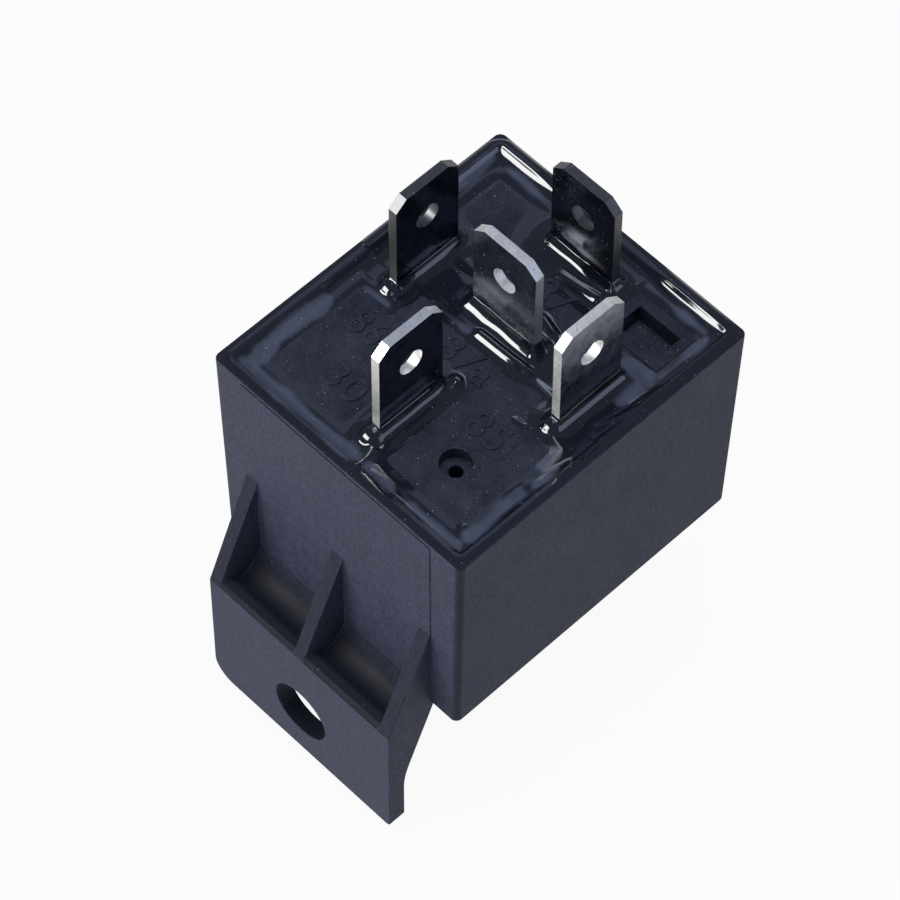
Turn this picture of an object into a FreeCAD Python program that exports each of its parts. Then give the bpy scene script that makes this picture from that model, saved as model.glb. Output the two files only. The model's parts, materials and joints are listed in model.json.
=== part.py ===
import FreeCAD, Part
import math
import os
from FreeCAD import Vector

# Automotive changeover relay with a moulded mounting bracket, in millimetres.
# Every function builds in rim coordinates: X and Y from the middle of the cover,
# Z up from the cover's rim, so that all inner levels are negative.
# The last step moves each piece so that the origin is the centre of the
# mounting hole on the outer face of the bracket tab. +Z is the way the blades point.

# Cover
COVER_X = 25.7
COVER_Y = 29.4
COVER_HEIGHT = 22.3
COVER_DRAFT = 0.4
BRACKET_WALL_DRAFT = 0.15
COVER_WALL = 1.5
COVER_FLOOR = 1.2
RIM_WALL = 1.0
CORNER_RADIUS = 0.6
INNER_CORNER_RADIUS = 0.4
CLOSED_END_CHAMFER = 0.3
PANEL_PROUD = 0.08
PANEL_DROP = 0.25

# Bracket, one moulding with the cover
BRACKET_WIDTH = 19.6
TAB_OFFSET = 4.3
TAB_THICKNESS = 1.6
TAB_LENGTH = 13.7
TAB_ROUND_CORNER = 2.0
TAB_CRISP_CORNER = 0.4
LIP_RISE = 0.3
LIP_RADIUS = 0.7
POCKET_DEPTH = 1.1
POCKET_RADIUS = 2.6
RIB_THICKNESS = 1.15
RIB_HEIGHT = 10.0
RIB_COUNT = 3
HOLE_RADIUS = 2.7
HOLE_BELOW_LIP = 8.3
WEB_STRAIGHT = 4.3
WEB_RADIUS = 7.0
WEB_TURN = 23.0

# Base plate and potting
BASE_SETBACK = 1.2
BASE_THICKNESS = 2.0
BASE_CLEARANCE = 0.05
ISLAND_HEIGHT = 0.9
ISLAND_RADIUS = 1.1
ISLAND_MARGIN = 1.3
GAP_BEFORE_CLOSED = 2.1
GAP_BEHIND_CLOSED = 1.9
CHANNEL_MARGIN = 1.1
RESIN_BELOW_RIM = 0.45
VENT_X = 5.9
VENT_Y = -8.3
VENT_RADIUS = 1.25
VENT_DEPTH = 1.15
VENT_HOLE_RADIUS = 0.55
POCKET_X = 7.6
POCKET_Y = 9.65
POCKET_LENGTH_X = 4.1
POCKET_LENGTH_Y = 2.5
POCKET_HOLLOW = 1.6
POCKET_FRAME_WIDTH = 0.85
POCKET_FRAME_HEIGHT = 0.15
YOKE_PAD_HEIGHT = 0.3
YOKE_PAD_WIDTH = 2.0
FLOOR_CLEARANCE = 0.2

# Blades
BLADE_WIDTH = 6.3
BLADE_THICKNESS = 0.8
BLADE_HEIGHT = 9.8
BLADE_CHAMFER_WIDTH = 1.06
BLADE_CHAMFER_HEIGHT = 0.88
BLADE_HOLE_RADIUS = 1.1
BLADE_HOLE_BELOW_TIP = 3.95
SLOT_CLEARANCE = 0.05
COIL_BLADE_X = 8.4
COIL_BLADE_Y = 2.4
COMMON_BLADE_Y = -7.4
CLOSED_BLADE_Y = 2.7
BLADE_PITCH = 8.0
COIL_TAIL_WIDTH = 2.2
COIL_TAIL_LENGTH = 5.2
COMMON_TENON_WIDTH = 2.6
BEND_RADIUS = 0.8
OPEN_STRIP_WIDTH = 3.8
CLOSED_LEG_WIDTH = 3.5
CLOSED_LEG_CLEARANCE = 1.1
STRIP_GAP = 0.5
FOOT_OVERHANG = 0.1

# Magnet system
COIL_CLEARANCE = 0.3
YOKE_THICKNESS = 1.4
YOKE_BEND_RADIUS = 0.9
YOKE_WIDTH = 12.0
YOKE_FACE_Y = -10.2
YOKE_END_MARGIN = 1.6
FLANGE_WIDTH = 12.2
FLANGE_TOP = 0.8
FLANGE_BOTTOM = 0.7
FLANGE_RADIUS = 1.5
TUBE_WALL = 0.75
WINDING_RADIUS = 5.7
CORE_RADIUS = 3.0
CORE_CLEARANCE = 0.05
NECK_RADIUS = 2.2
PEEN_HEIGHT = 0.15
PEEN_RADIUS = 2.6
POLE_RADIUS = 4.2
POLE_THICKNESS = 0.4
WIRE_RADIUS = 0.12
WRAP_TURNS = 3
WRAP_DROP = 3.4
LEAD_ANGLE = 40.0
SOLDER_WALL = 0.3
SOLDER_HEIGHT = 0.6

# Armature, spring and contacts
ARMATURE_ANGLE = 3.0
STOP_GAP = 0.03
ARMATURE_THICKNESS = 1.2
ARMATURE_WIDTH = 10.8
ARMATURE_HEEL = 0.4
ARMATURE_PAST_POLE = 2.6
ARMATURE_CORNER = 1.2
SPRING_THICKNESS = 0.3
SPRING_WIDTH = 7.2
SPRING_TIP_RADIUS = 1.9
SPRING_TOP_BELOW_YOKE = 1.9
SPRING_JOG_ABOVE_POLE = 3.5
SPRING_JOG_HEIGHT = 1.3
SPRING_STANDOFF = 1.45
SPRING_JOG_RADIUS = 0.6
SPRING_BEND_RADIUS = 1.0
SPRING_WINDOW = 3.0
RIVET_RADIUS = 0.8
RIVET_HEAD_RADIUS = 1.25
RIVET_HEAD = 0.45
RIVET_SPACING = 4.4
YOKE_RIVET_BELOW_YOKE = 4.9
ARMATURE_RIVET_INSET = 1.4
CONTACT_Y = 8.2
CONTACT_RADIUS = 1.5
CONTACT_DOME = 0.12
CONTACT_FLAT_SHARE = 0.6
MOVING_HEAD = 0.6
FIXED_HEAD = 0.5
CONTACT_SHANK = 0.8

# Points nearer than this count as one point
POINT_TOLERANCE = 0.001

# Places worked out from the sizes above, in plan
OPEN_BLADE_Y = CLOSED_BLADE_Y + BLADE_PITCH
CLOSED_LEG_X = SPRING_TIP_RADIUS + CLOSED_LEG_CLEARANCE
CLOSED_LEG_Y = OPEN_BLADE_Y - BLADE_THICKNESS - STRIP_GAP
FOOT_END_Y = CONTACT_Y - CONTACT_RADIUS - FOOT_OVERHANG
COIL_Y = YOKE_FACE_Y + YOKE_THICKNESS + COIL_CLEARANCE + FLANGE_WIDTH / 2
YOKE_END_Y = COIL_Y + NECK_RADIUS + YOKE_END_MARGIN
ARMATURE_TIP_Y = COIL_Y + POLE_RADIUS + ARMATURE_PAST_POLE
ARMATURE_RIVET_Y = ARMATURE_TIP_Y - ARMATURE_RIVET_INSET
TAB_FACE_Y = -COVER_Y / 2 - TAB_OFFSET

# Levels of the bracket
LIP_DROP = COVER_HEIGHT - LIP_RISE
RIB_TOP_DROP = LIP_DROP - RIB_HEIGHT
HOLE_DROP = LIP_DROP + HOLE_BELOW_LIP

# The stack inside: what the base, yoke, armature and contacts leave is the coil's window
REST_TURN = math.radians(ARMATURE_ANGLE)
CONTACT_DEPTH = ARMATURE_THICKNESS + SPRING_THICKNESS + MOVING_HEAD
CONTACT_REACH = CONTACT_Y + CONTACT_RADIUS - YOKE_FACE_Y
CONTACT_DROP = CONTACT_DEPTH * math.cos(REST_TURN) + CONTACT_REACH * math.sin(REST_TURN)
ABOVE_WINDOW = BASE_SETBACK + BASE_THICKNESS + YOKE_PAD_HEIGHT + YOKE_THICKNESS + FLANGE_TOP
BELOW_WINDOW = FLANGE_BOTTOM + POLE_THICKNESS + STOP_GAP + CONTACT_DROP + STOP_GAP + FIXED_HEAD
BELOW_CONTACTS = BLADE_THICKNESS + FLOOR_CLEARANCE + COVER_FLOOR
COIL_WINDOW = COVER_HEIGHT - ABOVE_WINDOW - BELOW_WINDOW - BELOW_CONTACTS

# Levels worked out from the stack
BASE_TOP = -BASE_SETBACK
BASE_BOTTOM = BASE_TOP - BASE_THICKNESS
ISLAND_TOP = BASE_TOP + ISLAND_HEIGHT
YOKE_TOP = BASE_BOTTOM - YOKE_PAD_HEIGHT
YOKE_UNDER = YOKE_TOP - YOKE_THICKNESS
WINDING_TOP = YOKE_UNDER - FLANGE_TOP
WINDING_BOTTOM = WINDING_TOP - COIL_WINDOW
FLANGE_UNDER = WINDING_BOTTOM - FLANGE_BOTTOM
POLE_FACE = FLANGE_UNDER - POLE_THICKNESS
ARMATURE_TOP = POLE_FACE - STOP_GAP
ARMATURE_UNDER = ARMATURE_TOP - ARMATURE_THICKNESS
SPRING_UNDER = ARMATURE_UNDER - SPRING_THICKNESS
OPEN_FACE = ARMATURE_UNDER + MOVING_HEAD + STOP_GAP
OPEN_FOOT_UNDER = OPEN_FACE + FIXED_HEAD
CLOSED_FACE = ARMATURE_TOP - CONTACT_DROP - STOP_GAP
CLOSED_FOOT_TOP = CLOSED_FACE - FIXED_HEAD
YOKE_RIVET_Z = YOKE_TOP - YOKE_RIVET_BELOW_YOKE
SPRING_TOP_Z = YOKE_TOP - SPRING_TOP_BELOW_YOKE
SPRING_JOG_Z = POLE_FACE + SPRING_JOG_ABOVE_POLE
PIVOT = Vector(0, YOKE_FACE_Y, ARMATURE_TOP)
X_AXIS = Vector(1, 0, 0)
Y_AXIS = Vector(0, 1, 0)
Z_AXIS = Vector(0, 0, 1)


def wall_y(z):
    """Outer face of the bracket wall, which leans in a little towards the closed end."""
    return -COVER_Y / 2 - BRACKET_WALL_DRAFT * z / COVER_HEIGHT


def box(x0, x1, y0, y1, z0, z1):
    return Part.makeBox(x1 - x0, y1 - y0, z1 - z0, Vector(x0, y0, z0))


def cylinder(radius, x, y, z0, z1):
    return Part.makeCylinder(radius, z1 - z0, Vector(x, y, z0))


def rounded_rectangle(half_x, half_y, radius, z):
    """Closed wire of four straight sides and four corner arcs, about the Z axis."""
    diagonal = radius * (1 - math.sqrt(0.5))
    corners = []
    for sx, sy in ((1, 1), (-1, 1), (-1, -1), (1, -1)):
        start = Vector(sx * half_x, sy * (half_y - radius), z)
        middle = Vector(sx * (half_x - diagonal), sy * (half_y - diagonal), z)
        end = Vector(sx * (half_x - radius), sy * half_y, z)
        if sx * sy < 0:
            start, end = end, start
        corners.append((start, middle, end))
    edges = []
    for index, (start, middle, end) in enumerate(corners):
        edges.append(Part.Arc(start, middle, end).toShape())
        edges.append(Part.LineSegment(end, corners[(index + 1) % 4][0]).toShape())
    return Part.Wire(edges)


def drafted_block(inset, z_top, z_bottom, radius):
    """Block with the cover's draft, its sides a given inset from the cover's outer faces.
    It is drawn as a wedge along Y and turned up, so its Z is the cover's -Y."""
    low_lean = -COVER_DRAFT * z_bottom / COVER_HEIGHT
    top_lean = -COVER_DRAFT * z_top / COVER_HEIGHT
    low_x = COVER_X / 2 - inset - low_lean
    top_x = COVER_X / 2 - inset - top_lean
    low_back = COVER_Y / 2 - inset - low_lean
    top_back = COVER_Y / 2 - inset - top_lean
    low_front = -wall_y(z_bottom) - inset
    top_front = -wall_y(z_top) - inset
    block = Part.makeWedge(-low_x, z_bottom, -low_back, -top_back, -top_x,
                           low_x, z_top, low_front, top_front, top_x)
    block.rotate(Vector(0, 0, 0), X_AXIS, 90)
    leaning = [edge for edge in block.Edges if edge.BoundBox.ZLength > (z_top - z_bottom) / 2]
    return block.makeFillet(radius, leaning)


def prism_yz(points, x0, x1):
    """Polygon given as (y, z) pairs, drawn out along X."""
    corners = [Vector(x0, y, z) for y, z in points]
    wire = Part.makePolygon(corners + corners[:1])
    return Part.Face(wire).extrude(Vector(x1 - x0, 0, 0))


def prism_xy(points, z0, z1):
    """Polygon given as (x, y) pairs, drawn out along Z."""
    corners = [Vector(x, y, z0) for x, y in points]
    wire = Part.makePolygon(corners + corners[:1])
    return Part.Face(wire).extrude(Vector(0, 0, z1 - z0))


def folded_strip(points, radii, thickness, x0, x1):
    """Sheet strip whose middle line runs through (y, z) points, with a round bend at each
    inner point. Both faces are offsets of that line, so every bend keeps its thickness."""
    line = [Vector(0, y, z) for y, z in points]
    half = thickness / 2
    sides = {1: [], -1: []}

    def normal(direction):
        return Vector(0, -direction.z, direction.y)

    previous = {}
    for side in sides:
        previous[side] = line[0] + normal((line[1] - line[0]).normalize()) * (side * half)
    for index, radius in enumerate(radii):
        before = (line[index + 1] - line[index]).normalize()
        after = (line[index + 2] - line[index + 1]).normalize()
        turn = before.y * after.z - before.z * after.y
        way = 1 if turn > 0 else -1
        angle = math.acos(max(-1.0, min(1.0, before.dot(after))))
        reach = radius * math.tan(angle / 2)
        start = line[index + 1] - before * reach
        centre = start + normal(before) * (way * radius)
        to_corner = (line[index + 1] - centre).normalize()
        for side in sides:
            own = radius - way * side * half
            first = centre - normal(before) * (way * own)
            last = centre - normal(after) * (way * own)
            if previous[side].distanceToPoint(first) > POINT_TOLERANCE:
                sides[side].append(Part.LineSegment(previous[side], first).toShape())
            sides[side].append(Part.Arc(first, centre + to_corner * own, last).toShape())
            previous[side] = last
    last_direction = (line[-1] - line[-2]).normalize()
    ends = {}
    for side in sides:
        ends[side] = line[-1] + normal(last_direction) * (side * half)
        sides[side].append(Part.LineSegment(previous[side], ends[side]).toShape())
    first_direction = (line[1] - line[0]).normalize()
    heads = [line[0] + normal(first_direction) * (side * half) for side in (1, -1)]
    edges = sides[1] + [Part.LineSegment(ends[1], ends[-1]).toShape()]
    edges += list(reversed(sides[-1])) + [Part.LineSegment(heads[1], heads[0]).toShape()]
    wire = Part.Wire(Part.__sortEdges__(edges))
    strip = Part.Face(wire).extrude(Vector(x1 - x0, 0, 0))
    strip.translate(Vector(x0, 0, 0))
    return strip


def rest_pose(shape):
    """Swings a piece from the closed position, against the pole, to the open rest position."""
    shape.rotate(PIVOT, X_AXIS, -ARMATURE_ANGLE)
    return shape


def rest_point(y, z):
    """Where a (y, z) point of the armature lies at rest, given its closed place."""
    dy = y - PIVOT.y
    dz = z - PIVOT.z
    return (PIVOT.y + dy * math.cos(REST_TURN) + dz * math.sin(REST_TURN),
            PIVOT.z + dz * math.cos(REST_TURN) - dy * math.sin(REST_TURN))


def bracket_web():
    """Side profile of the bracket: pocket with a round floor, lip, tab and curved back."""
    wall = wall_y(-LIP_DROP)
    floor = -LIP_DROP - POCKET_DEPTH
    back = TAB_FACE_Y + TAB_THICKNESS
    foot = -LIP_DROP - TAB_LENGTH
    buried = wall + COVER_WALL / 2
    arc_start = Vector(0, wall, floor + POCKET_RADIUS)
    centre = Vector(0, wall - POCKET_RADIUS, floor + POCKET_RADIUS)
    slant = POCKET_RADIUS * math.sqrt(0.5)
    arc_end = Vector(0, centre.y, floor)
    lip_foot = Vector(0, back, floor)
    lip_side = Vector(0, back, -LIP_DROP - LIP_RADIUS)
    lip_turn = LIP_RADIUS * (1 - math.sqrt(0.5))
    lip_back = Vector(0, back - LIP_RADIUS, -LIP_DROP)
    lip_front = Vector(0, TAB_FACE_Y + LIP_RADIUS / 2, -LIP_DROP)
    lip_edge = Vector(0, TAB_FACE_Y, -LIP_DROP - LIP_RADIUS / 2)
    bend_low = Vector(0, back, foot + WEB_STRAIGHT)
    half_turn = math.radians(WEB_TURN / 2)
    full_turn = math.radians(WEB_TURN)
    bend_middle = Vector(0, back + WEB_RADIUS * (1 - math.cos(half_turn)),
                         bend_low.z + WEB_RADIUS * math.sin(half_turn))
    bend_high = Vector(0, back + WEB_RADIUS * (1 - math.cos(full_turn)),
                       bend_low.z + WEB_RADIUS * math.sin(full_turn))
    join = Vector(0, wall_y(-COVER_HEIGHT) + CLOSED_END_CHAMFER, -COVER_HEIGHT + CLOSED_END_CHAMFER)
    edges = [
        Part.LineSegment(Vector(0, buried, arc_start.z), arc_start).toShape(),
        Part.Arc(arc_start, Vector(0, centre.y + slant, centre.z - slant), arc_end).toShape(),
        Part.LineSegment(arc_end, lip_foot).toShape(),
        Part.LineSegment(lip_foot, lip_side).toShape(),
        Part.Arc(lip_side, Vector(0, back - lip_turn, -LIP_DROP - lip_turn), lip_back).toShape(),
        Part.LineSegment(lip_back, lip_front).toShape(),
        Part.LineSegment(lip_front, lip_edge).toShape(),
        Part.LineSegment(lip_edge, Vector(0, TAB_FACE_Y, foot)).toShape(),
        Part.LineSegment(Vector(0, TAB_FACE_Y, foot), Vector(0, back, foot)).toShape(),
        Part.LineSegment(Vector(0, back, foot), bend_low).toShape(),
        Part.Arc(bend_low, bend_middle, bend_high).toShape(),
        Part.LineSegment(bend_high, join).toShape(),
        Part.LineSegment(join, Vector(0, buried, join.z)).toShape(),
        Part.LineSegment(Vector(0, buried, join.z), Vector(0, buried, arc_start.z)).toShape(),
    ]
    web = Part.Face(Part.Wire(edges)).extrude(Vector(BRACKET_WIDTH, 0, 0))
    web.translate(Vector(-BRACKET_WIDTH / 2, 0, 0))
    for side, radius in ((-1, TAB_ROUND_CORNER), (1, TAB_CRISP_CORNER)):
        corner = [edge for edge in web.Edges
                  if edge.BoundBox.ZMax < foot + POINT_TOLERANCE
                  and abs(edge.BoundBox.Center.x - side * BRACKET_WIDTH / 2) < POINT_TOLERANCE]
        web = web.makeFillet(radius, corner)
    return web


def bracket_rib(x0):
    """Triangular gusset from the cover's wall down to the lip of the tab."""
    top = -RIB_TOP_DROP
    foot = -LIP_DROP - POCKET_DEPTH - LIP_RADIUS
    wall = wall_y(-LIP_DROP)
    inside = wall + COVER_WALL / 2
    points = [
        (wall_y(top), top),
        (TAB_FACE_Y, -LIP_DROP - LIP_RADIUS / 2),
        (TAB_FACE_Y, foot),
        (wall - POCKET_RADIUS / 2, foot),
        (inside, foot + POCKET_RADIUS),
        (inside, top - COVER_WALL / 2),
    ]
    return prism_yz(points, x0, x0 + RIB_THICKNESS)


def cover_panel():
    """Slightly proud field of the bracket wall, between the two mould parting lines."""
    points = [
        (wall_y(-PANEL_DROP) - PANEL_PROUD, -PANEL_DROP),
        (wall_y(-LIP_DROP) - PANEL_PROUD, -LIP_DROP),
        (wall_y(-LIP_DROP) + RIM_WALL / 2, -LIP_DROP),
        (wall_y(-PANEL_DROP) + RIM_WALL / 2, -PANEL_DROP),
    ]
    return prism_yz(points, -BRACKET_WIDTH / 2, BRACKET_WIDTH / 2)


def make_cover():
    """Hollow drafted box, closed at the bottom, with a stepped rim and the ribbed bracket."""
    shell = drafted_block(0, 0, -COVER_HEIGHT, CORNER_RADIUS)
    closed_edges = [edge for edge in shell.Edges if edge.BoundBox.ZMax < -COVER_HEIGHT / 2]
    shell = shell.makeChamfer(CLOSED_END_CHAMFER, closed_edges)
    solids = [cover_panel(), bracket_web()]
    pitch = (BRACKET_WIDTH - RIB_THICKNESS) / (RIB_COUNT - 1)
    for index in range(RIB_COUNT):
        solids.append(bracket_rib(-BRACKET_WIDTH / 2 + index * pitch))
    shell = shell.multiFuse(solids)
    floor = -COVER_HEIGHT + COVER_FLOOR
    shell = shell.cut(drafted_block(COVER_WALL, BASE_BOTTOM, floor, INNER_CORNER_RADIUS))
    shell = shell.cut(drafted_block(RIM_WALL, 0, BASE_BOTTOM, INNER_CORNER_RADIUS))
    bore = Part.makeCylinder(HOLE_RADIUS, 2 * TAB_THICKNESS,
                             Vector(0, TAB_FACE_Y - TAB_THICKNESS / 2, -HOLE_DROP), Y_AXIS)
    return shell.cut(bore).removeSplitter()


def island(x0, x1, y0, y1):
    """Raised field of the base plate with round corners."""
    outline = rounded_rectangle((x1 - x0) / 2, (y1 - y0) / 2, ISLAND_RADIUS, BASE_TOP)
    block = Part.Face(outline).extrude(Vector(0, 0, ISLAND_HEIGHT))
    block.translate(Vector((x0 + x1) / 2, (y0 + y1) / 2, 0))
    return block


def channel(x, y, along_x, reach):
    """Moat round one blade, which runs on to the edge of the plate by the given reach."""
    half_long = BLADE_WIDTH / 2 + CHANNEL_MARGIN
    half_short = BLADE_THICKNESS / 2 + CHANNEL_MARGIN
    low_x = x - (half_long if along_x else half_short)
    high_x = x + (half_long if along_x else half_short)
    low_y = y - (half_short if along_x else half_long)
    high_y = y + (half_short if along_x else half_long)
    low_x += min(reach[0], 0)
    high_x += max(reach[0], 0)
    low_y += min(reach[1], 0)
    high_y += max(reach[1], 0)
    block = box(low_x, high_x, low_y, high_y, BASE_TOP, ISLAND_TOP + ISLAND_HEIGHT)
    upright = [edge for edge in block.Edges if edge.BoundBox.ZLength > ISLAND_HEIGHT]
    return block.makeFillet(CHANNEL_MARGIN * 0.9, upright)


def blade_slots():
    """One close slot through the base plate for each blade."""
    half_long = BLADE_WIDTH / 2 + SLOT_CLEARANCE
    half_short = BLADE_THICKNESS / 2 + SLOT_CLEARANCE
    slots = []
    for x, y in ((-COIL_BLADE_X, COIL_BLADE_Y), (COIL_BLADE_X, COIL_BLADE_Y), (0, COMMON_BLADE_Y)):
        slots.append(box(x - half_short, x + half_short, y - half_long, y + half_long,
                         BASE_BOTTOM - 1, ISLAND_TOP + 1))
    for y in (CLOSED_BLADE_Y, OPEN_BLADE_Y):
        slots.append(box(-half_long, half_long, y - half_short, y + half_short,
                         BASE_BOTTOM - 1, ISLAND_TOP + 1))
    return slots


def make_base():
    """Moulded plate: raised fields between potting moats, blade slots, vent and pocket."""
    plate = drafted_block(RIM_WALL + BASE_CLEARANCE, BASE_TOP, BASE_BOTTOM, INNER_CORNER_RADIUS)
    half_x = COVER_X / 2 - RIM_WALL - ISLAND_MARGIN
    half_y = COVER_Y / 2 - RIM_WALL - ISLAND_MARGIN
    fields = [island(-half_x, half_x, -half_y, CLOSED_BLADE_Y - GAP_BEFORE_CLOSED),
              island(-half_x, half_x, CLOSED_BLADE_Y + GAP_BEHIND_CLOSED, half_y)]
    to_side = COVER_X / 2 - COIL_BLADE_X
    to_front = COVER_Y / 2 + COMMON_BLADE_Y
    to_back = COVER_Y / 2 - OPEN_BLADE_Y
    moats = [
        channel(-COIL_BLADE_X, COIL_BLADE_Y, False, (-to_side, 0)),
        channel(COIL_BLADE_X, COIL_BLADE_Y, False, (to_side, 0)),
        channel(0, COMMON_BLADE_Y, False, (0, -to_front)),
        channel(0, OPEN_BLADE_Y, True, (0, to_back)),
    ]
    fields = [field.cut(moats) for field in fields]
    half_frame_x = POCKET_LENGTH_X / 2 + POCKET_FRAME_WIDTH
    half_frame_y = POCKET_LENGTH_Y / 2 + POCKET_FRAME_WIDTH
    fields.append(box(POCKET_X - half_frame_x, POCKET_X + half_frame_x, POCKET_Y - half_frame_y,
                      POCKET_Y + half_frame_y, BASE_TOP, ISLAND_TOP + POCKET_FRAME_HEIGHT))
    plate = plate.multiFuse(fields)
    pads = []
    for side in (-1, 1):
        x = side * (YOKE_WIDTH / 2 - YOKE_PAD_WIDTH / 2)
        pads.append(box(x - YOKE_PAD_WIDTH / 2, x + YOKE_PAD_WIDTH / 2, YOKE_FACE_Y, YOKE_END_Y,
                        YOKE_TOP, BASE_BOTTOM))
    plate = plate.multiFuse(pads)
    cuts = blade_slots()
    cuts.append(cylinder(VENT_RADIUS, VENT_X, VENT_Y, ISLAND_TOP - VENT_DEPTH, ISLAND_TOP + 1))
    cuts.append(cylinder(VENT_HOLE_RADIUS, VENT_X, VENT_Y, YOKE_TOP - 1, ISLAND_TOP + 1))
    cuts.append(box(POCKET_X - POCKET_LENGTH_X / 2, POCKET_X + POCKET_LENGTH_X / 2,
                    POCKET_Y - POCKET_LENGTH_Y / 2, POCKET_Y + POCKET_LENGTH_Y / 2,
                    ISLAND_TOP - POCKET_HOLLOW, ISLAND_TOP + 1))
    return plate.cut(cuts).removeSplitter()


def make_resin(base, terminals):
    """Potting that fills the moats from the plate up to just under the raised fields."""
    fill = drafted_block(RIM_WALL, -RESIN_BELOW_RIM, BASE_TOP, INNER_CORNER_RADIUS)
    fill = fill.cut([base] + terminals)
    keep = [solid for solid in fill.Solids if not is_in_hollow(solid)]
    return Part.makeCompound(keep) if len(keep) > 1 else keep[0]


def is_in_hollow(solid):
    """True for what would sit in the vent's counterbore or in the square pocket."""
    centre = solid.BoundBox.Center
    near_vent = math.hypot(centre.x - VENT_X, centre.y - VENT_Y) < VENT_RADIUS
    beside_pocket = abs(centre.x - POCKET_X) < POCKET_LENGTH_X / 2
    return near_vent or (beside_pocket and abs(centre.y - POCKET_Y) < POCKET_LENGTH_Y / 2)


def blade(z_bottom):
    """Flat blade across X, with cut corners and a locking hole near the tip."""
    half = BLADE_WIDTH / 2
    shoulder = BLADE_HEIGHT - BLADE_CHAMFER_HEIGHT
    points = [
        (-half, z_bottom), (half, z_bottom), (half, shoulder),
        (half - BLADE_CHAMFER_WIDTH, BLADE_HEIGHT), (BLADE_CHAMFER_WIDTH - half, BLADE_HEIGHT),
        (-half, shoulder),
    ]
    corners = [Vector(x, -BLADE_THICKNESS / 2, z) for x, z in points]
    plate = Part.Face(Part.makePolygon(corners + corners[:1])).extrude(Vector(0, BLADE_THICKNESS, 0))
    hole = Part.makeCylinder(BLADE_HOLE_RADIUS, 2 * BLADE_THICKNESS,
                             Vector(0, -BLADE_THICKNESS, BLADE_HEIGHT - BLADE_HOLE_BELOW_TIP), Y_AXIS)
    return plate.cut(hole)


def standing_blade(x, y, along_x, z_bottom):
    plate = blade(z_bottom)
    if not along_x:
        plate.rotate(Vector(0, 0, 0), Z_AXIS, 90)
    plate.translate(Vector(x, y, 0))
    return plate


def make_coil_terminal(side):
    """Blade with a narrow tail beside the coil, where the coil lead is wrapped."""
    x = side * COIL_BLADE_X
    tail = box(x - BLADE_THICKNESS / 2, x + BLADE_THICKNESS / 2,
               COIL_BLADE_Y - COIL_TAIL_WIDTH / 2, COIL_BLADE_Y + COIL_TAIL_WIDTH / 2,
               BASE_BOTTOM - COIL_TAIL_LENGTH, BASE_BOTTOM)
    return standing_blade(x, COIL_BLADE_Y, False, BASE_BOTTOM).fuse(tail).removeSplitter()


def common_tenon():
    """Where the common blade's tenon passes through the yoke, as y limits."""
    return COMMON_BLADE_Y - COMMON_TENON_WIDTH / 2, COMMON_BLADE_Y + COMMON_TENON_WIDTH / 2


def make_common_terminal():
    """Blade whose tenon is staked in the yoke, which carries the common current."""
    low, high = common_tenon()
    tenon = box(-BLADE_THICKNESS / 2, BLADE_THICKNESS / 2, low, high, YOKE_UNDER, BASE_BOTTOM)
    return standing_blade(0, COMMON_BLADE_Y, False, BASE_BOTTOM).fuse(tenon).removeSplitter()


def make_open_terminal():
    """Blade that runs down and folds in over the moving contact."""
    foot_z = OPEN_FOOT_UNDER + BLADE_THICKNESS / 2
    points = [(OPEN_BLADE_Y, BASE_BOTTOM), (OPEN_BLADE_Y, foot_z), (FOOT_END_Y, foot_z)]
    strip = folded_strip(points, [BEND_RADIUS], BLADE_THICKNESS, -OPEN_STRIP_WIDTH / 2, OPEN_STRIP_WIDTH / 2)
    body = standing_blade(0, OPEN_BLADE_Y, True, BASE_BOTTOM).fuse(strip).removeSplitter()
    return body.cut(cylinder(CONTACT_SHANK, 0, CONTACT_Y, OPEN_FOOT_UNDER - 1, foot_z + 1))


def make_closed_terminal():
    """Blade that folds under the plate, steps aside and folds in below the moving contact."""
    jog_z = BASE_BOTTOM - BEND_RADIUS
    foot_z = CLOSED_FOOT_TOP - BLADE_THICKNESS / 2
    leg_end = CLOSED_LEG_X + CLOSED_LEG_WIDTH
    points = [(CLOSED_BLADE_Y, BASE_BOTTOM), (CLOSED_BLADE_Y, jog_z), (CLOSED_LEG_Y, jog_z),
              (CLOSED_LEG_Y, foot_z), (FOOT_END_Y, foot_z)]
    radii = [BEND_RADIUS, BEND_RADIUS, BEND_RADIUS]
    half = BLADE_WIDTH / 2
    strip = folded_strip(points, radii, BLADE_THICKNESS, -half, leg_end)
    margin = 1
    turn_y = CLOSED_LEG_Y - BLADE_THICKNESS / 2 - BEND_RADIUS
    root = box(half, leg_end + margin, CLOSED_BLADE_Y - margin, CLOSED_BLADE_Y + BEND_RADIUS,
               jog_z - margin, BASE_BOTTOM + margin)
    beside = box(-half - margin, CLOSED_LEG_X, turn_y, CLOSED_LEG_Y + margin,
                 CLOSED_FOOT_TOP, BASE_BOTTOM + margin)
    foot_side = box(-half - margin, -OPEN_STRIP_WIDTH / 2, FOOT_END_Y - margin, CLOSED_LEG_Y + margin,
                    foot_z - margin, CLOSED_FOOT_TOP)
    strip = strip.cut([root, beside, foot_side])
    body = standing_blade(0, CLOSED_BLADE_Y, True, BASE_BOTTOM).fuse(strip).removeSplitter()
    return body.cut(cylinder(CONTACT_SHANK, 0, CONTACT_Y, foot_z - margin, CLOSED_FACE))


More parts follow.
